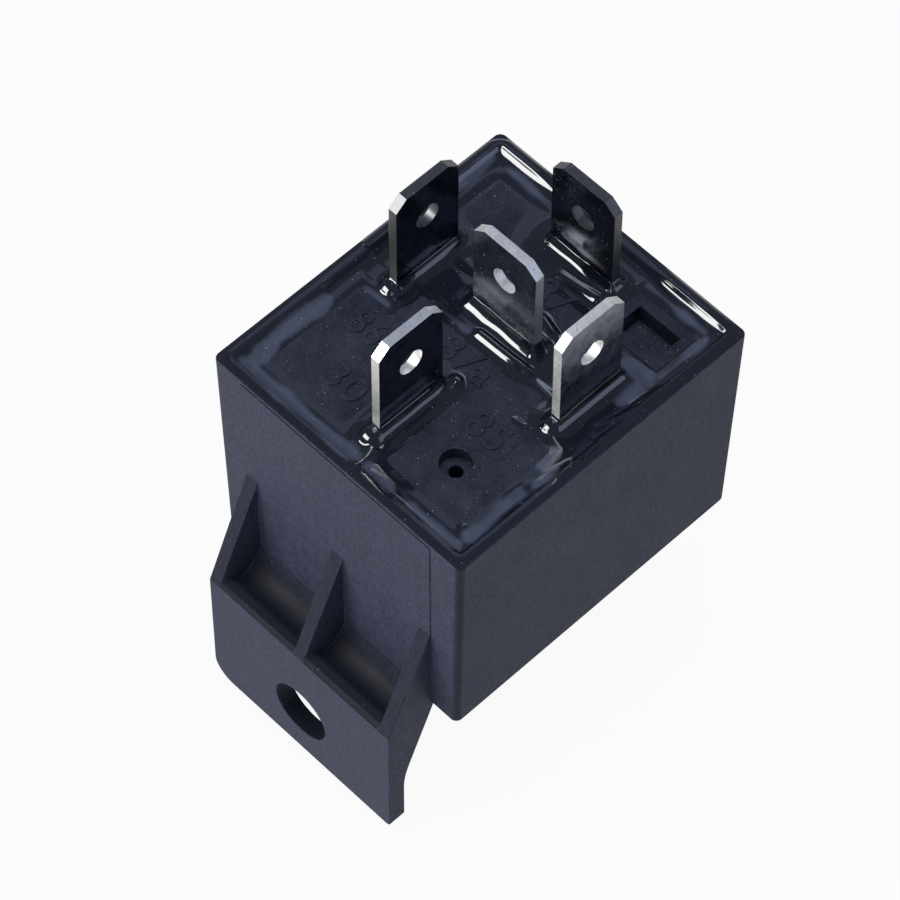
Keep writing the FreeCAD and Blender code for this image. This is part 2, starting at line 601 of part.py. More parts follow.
def make_yoke():
    """Folded steel angle: one leg under the base plate, one leg down to the armature."""
    middle_y = YOKE_FACE_Y + YOKE_THICKNESS / 2
    top_z = YOKE_TOP - YOKE_THICKNESS / 2
    points = [(middle_y, POLE_FACE), (middle_y, top_z), (YOKE_END_Y, top_z)]
    angle = folded_strip(points, [YOKE_BEND_RADIUS], YOKE_THICKNESS, -YOKE_WIDTH / 2, YOKE_WIDTH / 2)
    low, high = common_tenon()
    cuts = [
        cylinder(NECK_RADIUS, 0, COIL_Y, YOKE_UNDER - 1, YOKE_TOP + 1),
        box(-BLADE_THICKNESS / 2, BLADE_THICKNESS / 2, low, high, YOKE_UNDER - 1, YOKE_TOP + 1),
    ]
    for x in rivet_places():
        cuts.append(Part.makeCylinder(RIVET_RADIUS, 2 * YOKE_THICKNESS,
                                      Vector(x, YOKE_FACE_Y - YOKE_THICKNESS / 2, YOKE_RIVET_Z), Y_AXIS))
    return angle.cut(cuts)


def rivet_places():
    return (-RIVET_SPACING / 2, RIVET_SPACING / 2)


def make_core():
    """Turned core with a pole disc at the armature end and a peened neck in the yoke."""
    outline = [
        (0, POLE_FACE), (POLE_RADIUS, POLE_FACE), (POLE_RADIUS, FLANGE_UNDER), (CORE_RADIUS, FLANGE_UNDER),
        (CORE_RADIUS, YOKE_UNDER), (NECK_RADIUS, YOKE_UNDER), (NECK_RADIUS, YOKE_TOP),
        (PEEN_RADIUS, YOKE_TOP), (PEEN_RADIUS, YOKE_TOP + PEEN_HEIGHT), (0, YOKE_TOP + PEEN_HEIGHT),
    ]
    return turned(outline, 0, COIL_Y)


def turned(outline, x, y):
    """Solid of revolution about a vertical axis, from (radius, z) pairs."""
    corners = [Vector(radius, 0, z) for radius, z in outline]
    face = Part.Face(Part.makePolygon(corners + corners[:1]))
    solid = face.revolve(Vector(0, 0, 0), Z_AXIS, 360)
    solid.translate(Vector(x, y, 0))
    return solid


def make_bobbin():
    """Plastic former: tube with a square flange at each end."""
    inner = CORE_RADIUS + CORE_CLEARANCE
    half = FLANGE_WIDTH / 2
    tube = cylinder(inner + TUBE_WALL, 0, 0, FLANGE_UNDER, YOKE_UNDER)
    flanges = []
    for z0, z1 in ((WINDING_TOP, YOKE_UNDER), (FLANGE_UNDER, WINDING_BOTTOM)):
        outline = rounded_rectangle(half, half, FLANGE_RADIUS, z0)
        flanges.append(Part.Face(outline).extrude(Vector(0, 0, z1 - z0)))
    body = tube.multiFuse(flanges).cut(cylinder(inner, 0, 0, FLANGE_UNDER - 1, YOKE_UNDER + 1))
    body.translate(Vector(0, COIL_Y, 0))
    return body.removeSplitter()


def wrap_ring(side, z0, wall, height):
    """Rectangular ring round a coil terminal's tail."""
    x = side * COIL_BLADE_X
    half_x = BLADE_THICKNESS / 2
    half_y = COIL_TAIL_WIDTH / 2
    outer = box(x - half_x - wall, x + half_x + wall, COIL_BLADE_Y - half_y - wall,
                COIL_BLADE_Y + half_y + wall, z0, z0 + height)
    inner = box(x - half_x, x + half_x, COIL_BLADE_Y - half_y, COIL_BLADE_Y + half_y, z0 - 1, z0 + height + 1)
    return outer.cut(inner)


def wrap_level():
    return BASE_BOTTOM - WRAP_DROP


def coil_lead(side):
    """Wire from the winding's top turns out to the wraps on a tail."""
    angle = math.radians(LEAD_ANGLE)
    reach = WINDING_RADIUS - 3 * WIRE_RADIUS
    start = Vector(side * reach * math.cos(angle), COIL_Y + reach * math.sin(angle),
                   WINDING_TOP - 3 * WIRE_RADIUS)
    end = Vector(side * (COIL_BLADE_X - BLADE_THICKNESS / 2 - WIRE_RADIUS), COIL_BLADE_Y,
                 wrap_level() + WIRE_RADIUS)
    run = end - start
    return Part.makeCylinder(WIRE_RADIUS, run.Length, start, run)


def make_winding():
    """Wound copper: the packed winding, its two leads and their wraps on the tails."""
    inner = CORE_RADIUS + CORE_CLEARANCE + TUBE_WALL
    pack = cylinder(WINDING_RADIUS, 0, COIL_Y, WINDING_BOTTOM, WINDING_TOP)
    pack = pack.cut(cylinder(inner, 0, COIL_Y, WINDING_BOTTOM - 1, WINDING_TOP + 1))
    extras = []
    for side in (-1, 1):
        extras.append(coil_lead(side))
        for turn in range(WRAP_TURNS):
            z0 = wrap_level() - turn * 2 * WIRE_RADIUS
            extras.append(wrap_ring(side, z0, 2 * WIRE_RADIUS, 2 * WIRE_RADIUS))
    return pack.multiFuse(extras).removeSplitter()


def make_solder():
    """Solder collars that join the wraps to the two tails, just under the last turn."""
    low = wrap_level() - (WRAP_TURNS - 1) * 2 * WIRE_RADIUS - SOLDER_HEIGHT
    return Part.makeCompound([wrap_ring(side, low, SOLDER_WALL, SOLDER_HEIGHT) for side in (-1, 1)])


def make_armature():
    """Flat steel armature that hinges on the yoke's outer lower edge, drawn at rest."""
    heel = YOKE_FACE_Y - ARMATURE_HEEL
    half = ARMATURE_WIDTH / 2
    plate = box(-half, half, heel, ARMATURE_TIP_Y, ARMATURE_UNDER, ARMATURE_TOP)
    upright = [edge for edge in plate.Edges if edge.BoundBox.ZLength > ARMATURE_THICKNESS / 2]
    plate = plate.makeFillet(ARMATURE_CORNER, upright)
    for x in rivet_places():
        plate = plate.cut(cylinder(RIVET_RADIUS, x, ARMATURE_RIVET_Y, ARMATURE_UNDER - 1, ARMATURE_TOP + 1))
    return rest_pose(plate)


def spring_outline():
    """Plan of the contact spring: broad at the hinge, narrow and round at the contact."""
    half = SPRING_WIDTH / 2
    tip = SPRING_TIP_RADIUS
    back = YOKE_FACE_Y - SPRING_STANDOFF - 2
    narrow_y = CONTACT_Y - tip
    points = [
        (-half, back), (half, back), (half, ARMATURE_TIP_Y - 1), (tip, narrow_y),
        (tip, CONTACT_Y), (-tip, CONTACT_Y), (-tip, narrow_y), (-half, ARMATURE_TIP_Y - 1),
    ]
    low = 2 * SPRING_UNDER
    plan = prism_xy(points, low, 0)
    return plan.fuse(cylinder(tip, 0, CONTACT_Y, low, 0))


def make_spring():
    """Leaf spring: riveted to the yoke, bent round the hinge and riveted under the armature."""
    half = SPRING_THICKNESS / 2
    fixed_y = YOKE_FACE_Y - half
    free_y = YOKE_FACE_Y - SPRING_STANDOFF
    under = ARMATURE_UNDER - half
    near = rest_point(free_y, under)
    far = rest_point(CONTACT_Y + SPRING_TIP_RADIUS, under)
    slope = (far[1] - near[1]) / (far[0] - near[0])
    corner_z = near[1] + slope * (free_y - near[0])
    points = [
        (fixed_y, SPRING_TOP_Z), (fixed_y, SPRING_JOG_Z),
        (free_y, SPRING_JOG_Z - SPRING_JOG_HEIGHT), (free_y, corner_z), far,
    ]
    radii = [SPRING_JOG_RADIUS, SPRING_JOG_RADIUS, SPRING_BEND_RADIUS]
    leaf = folded_strip(points, radii, SPRING_THICKNESS, -SPRING_WIDTH / 2, SPRING_WIDTH / 2)
    leaf = leaf.common(rest_pose(spring_outline()))
    window = box(-SPRING_WINDOW / 2, SPRING_WINDOW / 2, free_y - 1, YOKE_FACE_Y - ARMATURE_HEEL,
                 corner_z + SPRING_BEND_RADIUS / 2, SPRING_JOG_Z - SPRING_JOG_HEIGHT)
    cuts = [window]
    for x in rivet_places():
        cuts.append(Part.makeCylinder(RIVET_RADIUS, 4 * SPRING_THICKNESS,
                                      Vector(x, YOKE_FACE_Y - 2 * SPRING_THICKNESS, YOKE_RIVET_Z), Y_AXIS))
        cuts.append(rest_pose(cylinder(RIVET_RADIUS, x, ARMATURE_RIVET_Y, SPRING_UNDER - 1, ARMATURE_TOP)))
    cuts.append(rest_pose(cylinder(CONTACT_SHANK, 0, CONTACT_Y, SPRING_UNDER - 1, ARMATURE_TOP)))
    return leaf.cut(cuts)


def make_yoke_rivets():
    """Two rivets that hold the spring on the yoke, heads outward."""
    inner_face = YOKE_FACE_Y + YOKE_THICKNESS
    head_face = YOKE_FACE_Y - SPRING_THICKNESS
    rivets = []
    for x in rivet_places():
        seat = Vector(x, head_face, YOKE_RIVET_Z)
        shank = Part.makeCylinder(RIVET_RADIUS, inner_face - head_face, seat, Y_AXIS)
        head = Part.makeCylinder(RIVET_HEAD_RADIUS, RIVET_HEAD,
                                 Vector(x, head_face - RIVET_HEAD, YOKE_RIVET_Z), Y_AXIS)
        rivets.append(shank.fuse(head))
    return Part.makeCompound(rivets)


def make_armature_rivets():
    """Two rivets that hold the spring under the armature, heads downward, flush on top."""
    rivets = []
    for x in rivet_places():
        outline = [(0, ARMATURE_TOP), (RIVET_RADIUS, ARMATURE_TOP), (RIVET_RADIUS, SPRING_UNDER),
                   (RIVET_HEAD_RADIUS, SPRING_UNDER), (RIVET_HEAD_RADIUS, SPRING_UNDER - RIVET_HEAD),
                   (0, SPRING_UNDER - RIVET_HEAD)]
        rivets.append(rest_pose(turned(outline, x, ARMATURE_RIVET_Y)))
    return Part.makeCompound(rivets)


def make_moving_contact():
    """Contact rivet with a face on both sides of the spring."""
    rim = CONTACT_RADIUS * CONTACT_FLAT_SHARE
    top = ARMATURE_UNDER + MOVING_HEAD
    bottom = SPRING_UNDER - MOVING_HEAD
    outline = [
        (0, bottom), (rim, bottom), (CONTACT_RADIUS, bottom + CONTACT_DOME), (CONTACT_RADIUS, SPRING_UNDER),
        (CONTACT_SHANK, SPRING_UNDER), (CONTACT_SHANK, ARMATURE_UNDER), (CONTACT_RADIUS, ARMATURE_UNDER),
        (CONTACT_RADIUS, top - CONTACT_DOME), (rim, top), (0, top),
    ]
    return rest_pose(turned(outline, 0, CONTACT_Y))


def make_fixed_contact(face, seat, shank_end):
    """Contact rivet in a folded foot: a domed face, a head and a shank through the foot."""
    way = 1 if seat > face else -1
    rim = CONTACT_RADIUS * CONTACT_FLAT_SHARE
    outline = [
        (0, face), (rim, face), (CONTACT_RADIUS, face + way * CONTACT_DOME), (CONTACT_RADIUS, seat),
        (CONTACT_SHANK, seat), (CONTACT_SHANK, shank_end), (0, shank_end),
    ]
    return turned(outline, 0, CONTACT_Y)


def build_pieces():
    """All pieces by node name, still in rim coordinates."""
    pieces = {
        "cover": make_cover(),
        "base": make_base(),
        "terminal_30": make_common_terminal(),
        "terminal_85": make_coil_terminal(1),
        "terminal_86": make_coil_terminal(-1),
        "terminal_87": make_open_terminal(),
        "terminal_87a": make_closed_terminal(),
        "yoke": make_yoke(),
        "core": make_core(),
        "bobbin": make_bobbin(),
        "coil_winding": make_winding(),
        "lead_solder": make_solder(),
        "armature": make_armature(),
        "contact_spring": make_spring(),
        "yoke_rivets": make_yoke_rivets(),
        "armature_rivets": make_armature_rivets(),
        "moving_contact": make_moving_contact(),
        "no_contact": make_fixed_contact(OPEN_FACE, OPEN_FOOT_UNDER, OPEN_FOOT_UNDER + BLADE_THICKNESS),
        "nc_contact": make_fixed_contact(CLOSED_FACE, CLOSED_FOOT_TOP, CLOSED_FOOT_TOP - BLADE_THICKNESS),
    }
    blades = [pieces[name] for name in pieces if name.startswith("terminal")]
    pieces["sealing_resin"] = make_resin(pieces["base"], blades)
    return pieces


def main():
    os.makedirs("parts", exist_ok=True)
    to_mount = Vector(0, -TAB_FACE_Y, HOLE_DROP)
    for name, shape in build_pieces().items():
        shape.translate(to_mount)
        shape.exportStep("parts/%s.step" % name)
        print(name, "solids", len(shape.Solids), "valid", shape.isValid(), "volume", round(shape.Volume, 3))


main()
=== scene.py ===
import json
import math

import bmesh
import bpy
import numpy as np
from mathutils import Matrix, Vector


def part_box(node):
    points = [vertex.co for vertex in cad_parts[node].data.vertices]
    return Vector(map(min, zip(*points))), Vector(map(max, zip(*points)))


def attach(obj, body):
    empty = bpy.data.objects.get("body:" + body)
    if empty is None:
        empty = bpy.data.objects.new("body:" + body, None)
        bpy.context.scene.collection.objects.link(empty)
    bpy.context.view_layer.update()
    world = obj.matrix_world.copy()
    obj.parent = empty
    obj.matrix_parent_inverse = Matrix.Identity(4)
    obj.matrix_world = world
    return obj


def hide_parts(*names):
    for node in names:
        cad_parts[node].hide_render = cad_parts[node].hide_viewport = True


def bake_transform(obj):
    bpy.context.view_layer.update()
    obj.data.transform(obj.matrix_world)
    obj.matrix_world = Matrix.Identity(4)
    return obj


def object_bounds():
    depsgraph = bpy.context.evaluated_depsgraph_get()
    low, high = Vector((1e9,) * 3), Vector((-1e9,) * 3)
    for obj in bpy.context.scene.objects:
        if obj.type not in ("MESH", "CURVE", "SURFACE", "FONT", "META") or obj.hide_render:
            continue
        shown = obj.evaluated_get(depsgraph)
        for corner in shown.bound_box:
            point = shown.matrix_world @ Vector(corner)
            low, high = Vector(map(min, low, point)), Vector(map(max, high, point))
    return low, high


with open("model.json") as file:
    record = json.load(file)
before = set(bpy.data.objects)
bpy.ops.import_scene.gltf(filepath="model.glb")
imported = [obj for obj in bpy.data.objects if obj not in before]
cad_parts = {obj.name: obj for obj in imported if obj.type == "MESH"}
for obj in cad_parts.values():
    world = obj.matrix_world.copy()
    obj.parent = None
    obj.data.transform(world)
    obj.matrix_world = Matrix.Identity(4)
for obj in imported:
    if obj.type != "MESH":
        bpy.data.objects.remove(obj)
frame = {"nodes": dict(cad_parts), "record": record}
cad_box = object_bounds()
MM = 0.001

# The origin is the mounting hole's centre. RIM is the middle of the cover's rim, in mm, and every
# place below is given in mm from it.
COVER_HALF_X = 12.85
COVER_HALF_Y = 14.7
COVER_CORNER = 0.6
RIM_WALL = 1.0
RIM = np.array(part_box("cover")[1]) / MM - (COVER_HALF_X, COVER_HALF_Y, 0.0)

# Terminal plate: its raised fields with their level, half width along X, corner radius, and middle
# and half sizes, then the vent's middle and radius, and the square pocket's middle and half sizes
# with its frame's
ISLAND_LEVEL = -0.3
ISLAND_HALF_X = 10.55
ISLAND_CORNER = 1.1
ISLANDS = ((0.0, -5.9, ISLAND_HALF_X, 6.5), (0.0, 8.5, ISLAND_HALF_X, 3.9))
VENT = (5.9, -8.3)
VENT_RADIUS = 1.25
POCKET = (7.6, 9.65)
POCKET_HALF = (2.05, 1.25)
POCKET_FRAME_HALF = (2.9, 2.1)

# Blades: middle in plan, and whether the blade runs along X
BLADE_HALF_WIDTH = 3.15
BLADE_HALF_THICKNESS = 0.4
BLADES = {
    "terminal_30": (0.0, -7.4, False),
    "terminal_85": (8.4, 2.4, False),
    "terminal_86": (-8.4, 2.4, False),
    "terminal_87": (0.0, 10.7, True),
    "terminal_87a": (0.0, 2.7, True),
}
# How frosted each blade's faces are, and its share of painted highlight on the sheared edges; a low share
# leaves them in painted shade
BLADE_FROST_AND_EDGE_HIGHLIGHT = {
    "terminal_30": (0.15, 1.0),
    "terminal_85": (0.65, 1.0),
    "terminal_86": (0.2, 0.1),
    "terminal_87": (0.35, 0.1),
    "terminal_87a": (0.5, 1.0),
}


# Materials

def linear(code):
    """sRGB hex to a linear colour with alpha."""
    parts = [int(code[i:i + 2], 16) / 255 for i in (1, 3, 5)]
    return [c / 12.92 if c <= 0.04045 else ((c + 0.055) / 1.055) ** 2.4 for c in parts] + [1.0]


def per_mm(size_mm):
    """Pattern scale at which one blotch, cell or line is size_mm across."""
    return 1 / (size_mm * MM)


def put(tree, kind, sets=None, links=None, stops=None, **attributes):
    """Adds a node, sets its attributes, inputs and ramp stops, and links its inputs."""
    node = tree.nodes.new(kind)
    for key, value in attributes.items():
        setattr(node, key, value)
    for key, value in (sets or {}).items():
        node.inputs[key].default_value = value
    for key, source in (links or {}).items():
        tree.links.new(source, node.inputs[key])
    for place, (position, code) in enumerate(stops or ()):
        if place >= len(node.color_ramp.elements):
            node.color_ramp.elements.new(position)
        node.color_ramp.elements[place].position = position
        node.color_ramp.elements[place].color = linear(code)
    return node


def new_material(name):
    """Empty node material with the place on the piece, which every pattern here reads."""
    material = bpy.data.materials.new(name)
    material.use_nodes = True
    tree = material.node_tree
    tree.nodes.clear()
    place = put(tree, "ShaderNodeTexCoord").outputs["Object"]
    return material, tree, place


def moulded_pbt():
    """Glass-filled PBT, injection moulded in a spark-eroded tool: a dull, fine even grain with
    cloudy flow marks, faint drag marks down the drafted walls and a few pale dust specks. Ledges,
    pocket floors and corner rounds get painted shade, a darker colour where shade falls."""
    cloud_share = 0.45
    drag_share = 0.2
    material, tree, place = new_material("glass_filled_PBT_spark_textured")
    spark = put(tree, "ShaderNodeTexNoise", {"Scale": per_mm(0.3), "Detail": 2.0, "Roughness": 0.6},
                {"Vector": place})
    cloud = put(tree, "ShaderNodeTexNoise", {"Scale": per_mm(3.5), "Detail": 5.0, "Roughness": 0.7},
                {"Vector": place})
    drawn = put(tree, "ShaderNodeMapping", {"Scale": (1.0, 1.0, 0.05)}, {"Vector": place})
    drag = put(tree, "ShaderNodeTexNoise", {"Scale": per_mm(0.5), "Detail": 3.0},
               {"Vector": drawn.outputs[0]})
    dust = put(tree, "ShaderNodeTexNoise", {"Scale": per_mm(0.16), "Detail": 0.0}, {"Vector": place})
    mottle = put(tree, "ShaderNodeMath", {1: cloud_share}, {0: cloud.outputs[0], 2: spark.outputs[0]},
                 operation="MULTIPLY_ADD")
    mottle = put(tree, "ShaderNodeMath", {1: drag_share}, {0: drag.outputs[0], 2: mottle.outputs[0]},
                 operation="MULTIPLY_ADD")
    depth = put(tree, "ShaderNodeMapRange", {"From Min": 0.5, "From Max": 1.15}, {"Value": mottle.outputs[0]})
    grain = put(tree, "ShaderNodeValToRGB", links={"Fac": depth.outputs[0]},
                stops=((0.0, "#2c2f3a"), (1.0, "#4a4e5f")))
    speck = put(tree, "ShaderNodeMapRange", {"From Min": 0.83, "From Max": 0.87, "To Max": 0.3},
                {"Value": dust.outputs[0]})
    # Painted shade: a darker colour on ledges, pocket floors and corner rounds, where shade falls.
    painted_shade = put(tree, "ShaderNodeAttribute", attribute_name="painted_shade").outputs["Fac"]
    body = put(tree, "ShaderNodeMix", {"B": linear("#14161d")}, {"Factor": painted_shade, "A": grain.outputs[0]},
               data_type="RGBA")
    colour = put(tree, "ShaderNodeMix", {"B": linear("#8a8f9a")},
                 {"Factor": speck.outputs[0], "A": body.outputs["Result"]}, data_type="RGBA")
    rough = put(tree, "ShaderNodeMapRange",
                {"From Min": 0.3, "From Max": 0.7, "To Min": 0.46, "To Max": 0.6},
                {"Value": cloud.outputs[0]})
    bump = put(tree, "ShaderNodeBump", {"Distance": 0.014 * MM}, {"Height": spark.outputs[0]})
    shader = put(tree, "ShaderNodeBsdfPrincipled", {"Specular IOR Level": 0.06, "IOR": 1.55},
                 {"Base Color": colour.outputs["Result"], "Roughness": rough.outputs[0],
                  "Normal": bump.outputs[0]})
    put(tree, "ShaderNodeOutputMaterial", links={"Surface": shader.outputs[0]})
    return material


def moulded_plate():
    """The same PBT on the terminal plate, moulded against a finer tool and wiped with potting:
    satin, with fine dust held in the wiped film."""
    fine_share = 0.7
    material, tree, place = new_material("glass_filled_PBT_satin")
    fine = put(tree, "ShaderNodeTexNoise", {"Scale": per_mm(0.18), "Detail": 2.0, "Roughness": 0.6},
               {"Vector": place})
    smear = put(tree, "ShaderNodeTexNoise", {"Scale": per_mm(2.4), "Detail": 4.0, "Roughness": 0.6},
                {"Vector": place})
    dust = put(tree, "ShaderNodeTexNoise", {"Scale": per_mm(0.13), "Detail": 0.0}, {"Vector": place})
    mottle = put(tree, "ShaderNodeMath", {1: fine_share}, {0: fine.outputs[0], 2: smear.outputs[0]},
                 operation="MULTIPLY_ADD")
    depth = put(tree, "ShaderNodeMapRange", {"From Min": 0.6, "From Max": 1.1}, {"Value": mottle.outputs[0]})
    body = put(tree, "ShaderNodeValToRGB", links={"Fac": depth.outputs[0]},
               stops=((0.0, "#161921"), (1.0, "#272a35")))
    speck = put(tree, "ShaderNodeMapRange", {"From Min": 0.8, "From Max": 0.85, "To Max": 0.45},
                {"Value": dust.outputs[0]})
    colour = put(tree, "ShaderNodeMix", {"B": linear("#9aa0ad")},
                 {"Factor": speck.outputs[0], "A": body.outputs[0]}, data_type="RGBA")
    rough = put(tree, "ShaderNodeMapRange",
                {"From Min": 0.35, "From Max": 0.65, "To Min": 0.4, "To Max": 0.52},
                {"Value": smear.outputs[0]})
    bump = put(tree, "ShaderNodeBump", {"Distance": 0.006 * MM}, {"Height": fine.outputs[0]})
    shader = put(tree, "ShaderNodeBsdfPrincipled", {"Specular IOR Level": 0.08, "IOR": 1.55},
                 {"Base Color": colour.outputs["Result"], "Roughness": rough.outputs[0],
                  "Normal": bump.outputs[0]})
    put(tree, "ShaderNodeOutputMaterial", links={"Surface": shader.outputs[0]})
    return material


def potting():
    """Black epoxy potting, poured and set: a wet-looking gloss, with pale painted reflections in
    bands on the flat places, faint pull marks and dust."""
    pull_share = 0.8
    pull_haze = 0.05
    material, tree, place = new_material("black_epoxy_potting")
    # Painted reflection: pale bands lighten the potting's colour where a lamp would mirror in it.
    painted_reflection = put(tree, "ShaderNodeAttribute", attribute_name="painted_reflection").outputs["Fac"]
    pull = put(tree, "ShaderNodeTexNoise", {"Scale": per_mm(1.8), "Detail": 2.0}, {"Vector": place})
    skin = put(tree, "ShaderNodeTexNoise", {"Scale": per_mm(0.22), "Detail": 2.0}, {"Vector": place})
    dust = put(tree, "ShaderNodeTexNoise", {"Scale": per_mm(0.14), "Detail": 0.0}, {"Vector": place})
    speck = put(tree, "ShaderNodeMapRange", {"From Min": 0.82, "From Max": 0.86}, {"Value": dust.outputs[0]})
    pulls_and_painted_reflection = put(tree, "ShaderNodeMath", {1: pull_share}, {0: pull.outputs[0], 2: painted_reflection},
                operation="MULTIPLY_ADD")
    pulls_and_painted_reflection = put(tree, "ShaderNodeMapRange", {"From Min": 0.55, "From Max": 1.5}, {"Value": pulls_and_painted_reflection.outputs[0]})
    film = put(tree, "ShaderNodeValToRGB", links={"Fac": pulls_and_painted_reflection.outputs[0]},
               stops=((0.0, "#0c0f16"), (1.0, "#2f3442")))
    body = put(tree, "ShaderNodeMix", {"B": linear("#596070")},
               {"Factor": speck.outputs[0], "A": film.outputs[0]}, data_type="RGBA")
    rough = put(tree, "ShaderNodeMapRange", {"To Min": 0.06, "To Max": 0.25}, {"Value": pulls_and_painted_reflection.outputs[0]})
    haze = put(tree, "ShaderNodeMath", {1: pull_haze}, {0: pull.outputs[0], 2: rough.outputs[0]},
               operation="MULTIPLY_ADD")
    slow = put(tree, "ShaderNodeBump", {"Distance": 0.005 * MM}, {"Height": pull.outputs[0]})
    bump = put(tree, "ShaderNodeBump", {"Distance": 0.0006 * MM},
               {"Height": skin.outputs[0], "Normal": slow.outputs[0]})
    shader = put(tree, "ShaderNodeBsdfPrincipled", {"Specular IOR Level": 0.6, "IOR": 1.55},
                 {"Base Color": body.outputs["Result"], "Roughness": haze.outputs[0],
                  "Normal": bump.outputs[0]})
    put(tree, "ShaderNodeOutputMaterial", links={"Surface": shader.outputs[0]})
    return material


def tinned_brass():
    """Brass strip, blanked and tin plated: broad faces that mirror what lies round them, with
    rolling lines, tarnish and, where a blade is frosted, a pale mottle. Sheared edges are rough,
    with a painted highlight on most blades and painted shade on the rest. A fleck of dust dulls the tin under
    it."""
    smooth_tin = 0.08
    sheared_roughness = 0.3
    fleck_roughness = 0.35
    material, tree, place = new_material("tin_plated_brass_strip")
    sheared = put(tree, "ShaderNodeAttribute", attribute_name="sheared").outputs["Fac"]
    bright = put(tree, "ShaderNodeAttribute", attribute_name="bright").outputs["Fac"]
    frosted = put(tree, "ShaderNodeAttribute", attribute_name="frosted").outputs["Fac"]
    along = put(tree, "ShaderNodeMapping", {"Scale": (1.0, 1.0, 0.06)}, {"Vector": place})
    rolled = put(tree, "ShaderNodeTexNoise", {"Scale": per_mm(0.09), "Detail": 2.0},
                 {"Vector": along.outputs[0]})
    tarnish = put(tree, "ShaderNodeTexNoise", {"Scale": per_mm(1.2), "Detail": 5.0, "Roughness": 0.65},
                  {"Vector": place})
    rubs = put(tree, "ShaderNodeTexNoise", {"Scale": per_mm(0.3), "Detail": 3.0, "Roughness": 0.7},
               {"Vector": place})
    shade = put(tree, "ShaderNodeMapRange", {"From Min": 0.32, "From Max": 0.68},
                {"Value": tarnish.outputs[0]})
    face = put(tree, "ShaderNodeValToRGB", links={"Fac": shade.outputs[0]},
               stops=((0.0, "#565a66"), (1.0, "#7f8492")))
    # Painted highlight on the sheared edges, near white with rub marks; the dark colour below is painted
    # shade for blades with a low share.
    painted_highlight_colour = put(tree, "ShaderNodeValToRGB", links={"Fac": rubs.outputs[0]},
               stops=((0.3, "#d9d8d4"), (0.7, "#f6f5f1")))
    edge = put(tree, "ShaderNodeMix", {"A": linear("#3a3b3f")}, {"Factor": bright, "B": painted_highlight_colour.outputs[0]},
               data_type="RGBA")
    body = put(tree, "ShaderNodeMix", data_type="RGBA",
               links={"Factor": sheared, "A": face.outputs[0], "B": edge.outputs["Result"]})
    dust = put(tree, "ShaderNodeTexNoise", {"Scale": per_mm(0.2), "Detail": 0.0}, {"Vector": place})
    fleck = put(tree, "ShaderNodeMapRange", {"From Min": 0.79, "From Max": 0.87}, {"Value": dust.outputs[0]})
    body = put(tree, "ShaderNodeMix", {"B": linear("#a3a7b2")},
               {"Factor": fleck.outputs[0], "A": body.outputs["Result"]}, data_type="RGBA")
    patch = put(tree, "ShaderNodeMapRange",
                {"From Min": 0.3, "From Max": 0.7, "To Min": 0.24, "To Max": 0.4},
                {"Value": tarnish.outputs[0]})
    dull = put(tree, "ShaderNodeMath", {2: smooth_tin}, {0: frosted, 1: patch.outputs[0]},
               operation="MULTIPLY_ADD")
    dull = put(tree, "ShaderNodeMath", {1: sheared_roughness}, {0: sheared, 2: dull.outputs[0]},
               operation="MULTIPLY_ADD")
    dull = put(tree, "ShaderNodeMath", {1: fleck_roughness}, {0: fleck.outputs[0], 2: dull.outputs[0]},
               operation="MULTIPLY_ADD")
    dents = put(tree, "ShaderNodeBump", {"Distance": 0.006 * MM, "Strength": 0.5},
                {"Height": rubs.outputs[0]})
    lines = put(tree, "ShaderNodeBump", {"Distance": 0.003 * MM, "Strength": 0.7},
                {"Height": rolled.outputs[0], "Normal": dents.outputs[0]})
    shader = put(tree, "ShaderNodeBsdfPrincipled", {"Metallic": 1.0},
                 {"Base Color": body.outputs["Result"], "Roughness": dull.outputs[0],
                  "Normal": lines.outputs[0]})
    put(tree, "ShaderNodeOutputMaterial", links={"Surface": shader.outputs[0]})
    return material


def zinc_plate():
    """Low-carbon steel, blanked and zinc plated: bright bluish silver with a fine spangle."""
    material, tree, place = new_material("zinc_plated_steel")
    spangle = put(tree, "ShaderNodeTexVoronoi", {"Scale": per_mm(0.5)}, {"Vector": place})
    haze = put(tree, "ShaderNodeTexNoise", {"Scale": per_mm(2.0), "Detail": 3.0}, {"Vector": place})
    body = put(tree, "ShaderNodeValToRGB", links={"Fac": haze.outputs[0]},
               stops=((0.3, "#a4a9b0"), (0.7, "#c9cdd2")))
    rough = put(tree, "ShaderNodeMapRange", {"From Max": 0.7, "To Min": 0.24, "To Max": 0.42},
                {"Value": spangle.outputs[0]})
    bump = put(tree, "ShaderNodeBump", {"Distance": 0.004 * MM}, {"Height": spangle.outputs[0]})
    shader = put(tree, "ShaderNodeBsdfPrincipled", {"Metallic": 1.0},
                 {"Base Color": body.outputs[0], "Roughness": rough.outputs[0], "Normal": bump.outputs[0]})
    put(tree, "ShaderNodeOutputMaterial", links={"Surface": shader.outputs[0]})
    return material


def bobbin_nylon():
    """Nylon 66, injection moulded, black: smooth with a faint waxy sheen."""
    material, tree, place = new_material("moulded_nylon_66")
    flow = put(tree, "ShaderNodeTexNoise", {"Scale": per_mm(1.8), "Detail": 3.0}, {"Vector": place})
    body = put(tree, "ShaderNodeValToRGB", links={"Fac": flow.outputs[0]},
               stops=((0.3, "#17181b"), (0.7, "#26272b")))
    rough = put(tree, "ShaderNodeMapRange",
                {"From Min": 0.3, "From Max": 0.7, "To Min": 0.34, "To Max": 0.48},
                {"Value": flow.outputs[0]})
    bump = put(tree, "ShaderNodeBump", {"Distance": 0.01 * MM}, {"Height": flow.outputs[0]})
    shader = put(tree, "ShaderNodeBsdfPrincipled", {"IOR": 1.53},
                 {"Base Color": body.outputs[0], "Roughness": rough.outputs[0], "Normal": bump.outputs[0]})
    put(tree, "ShaderNodeOutputMaterial", links={"Surface": shader.outputs[0]})
    return material


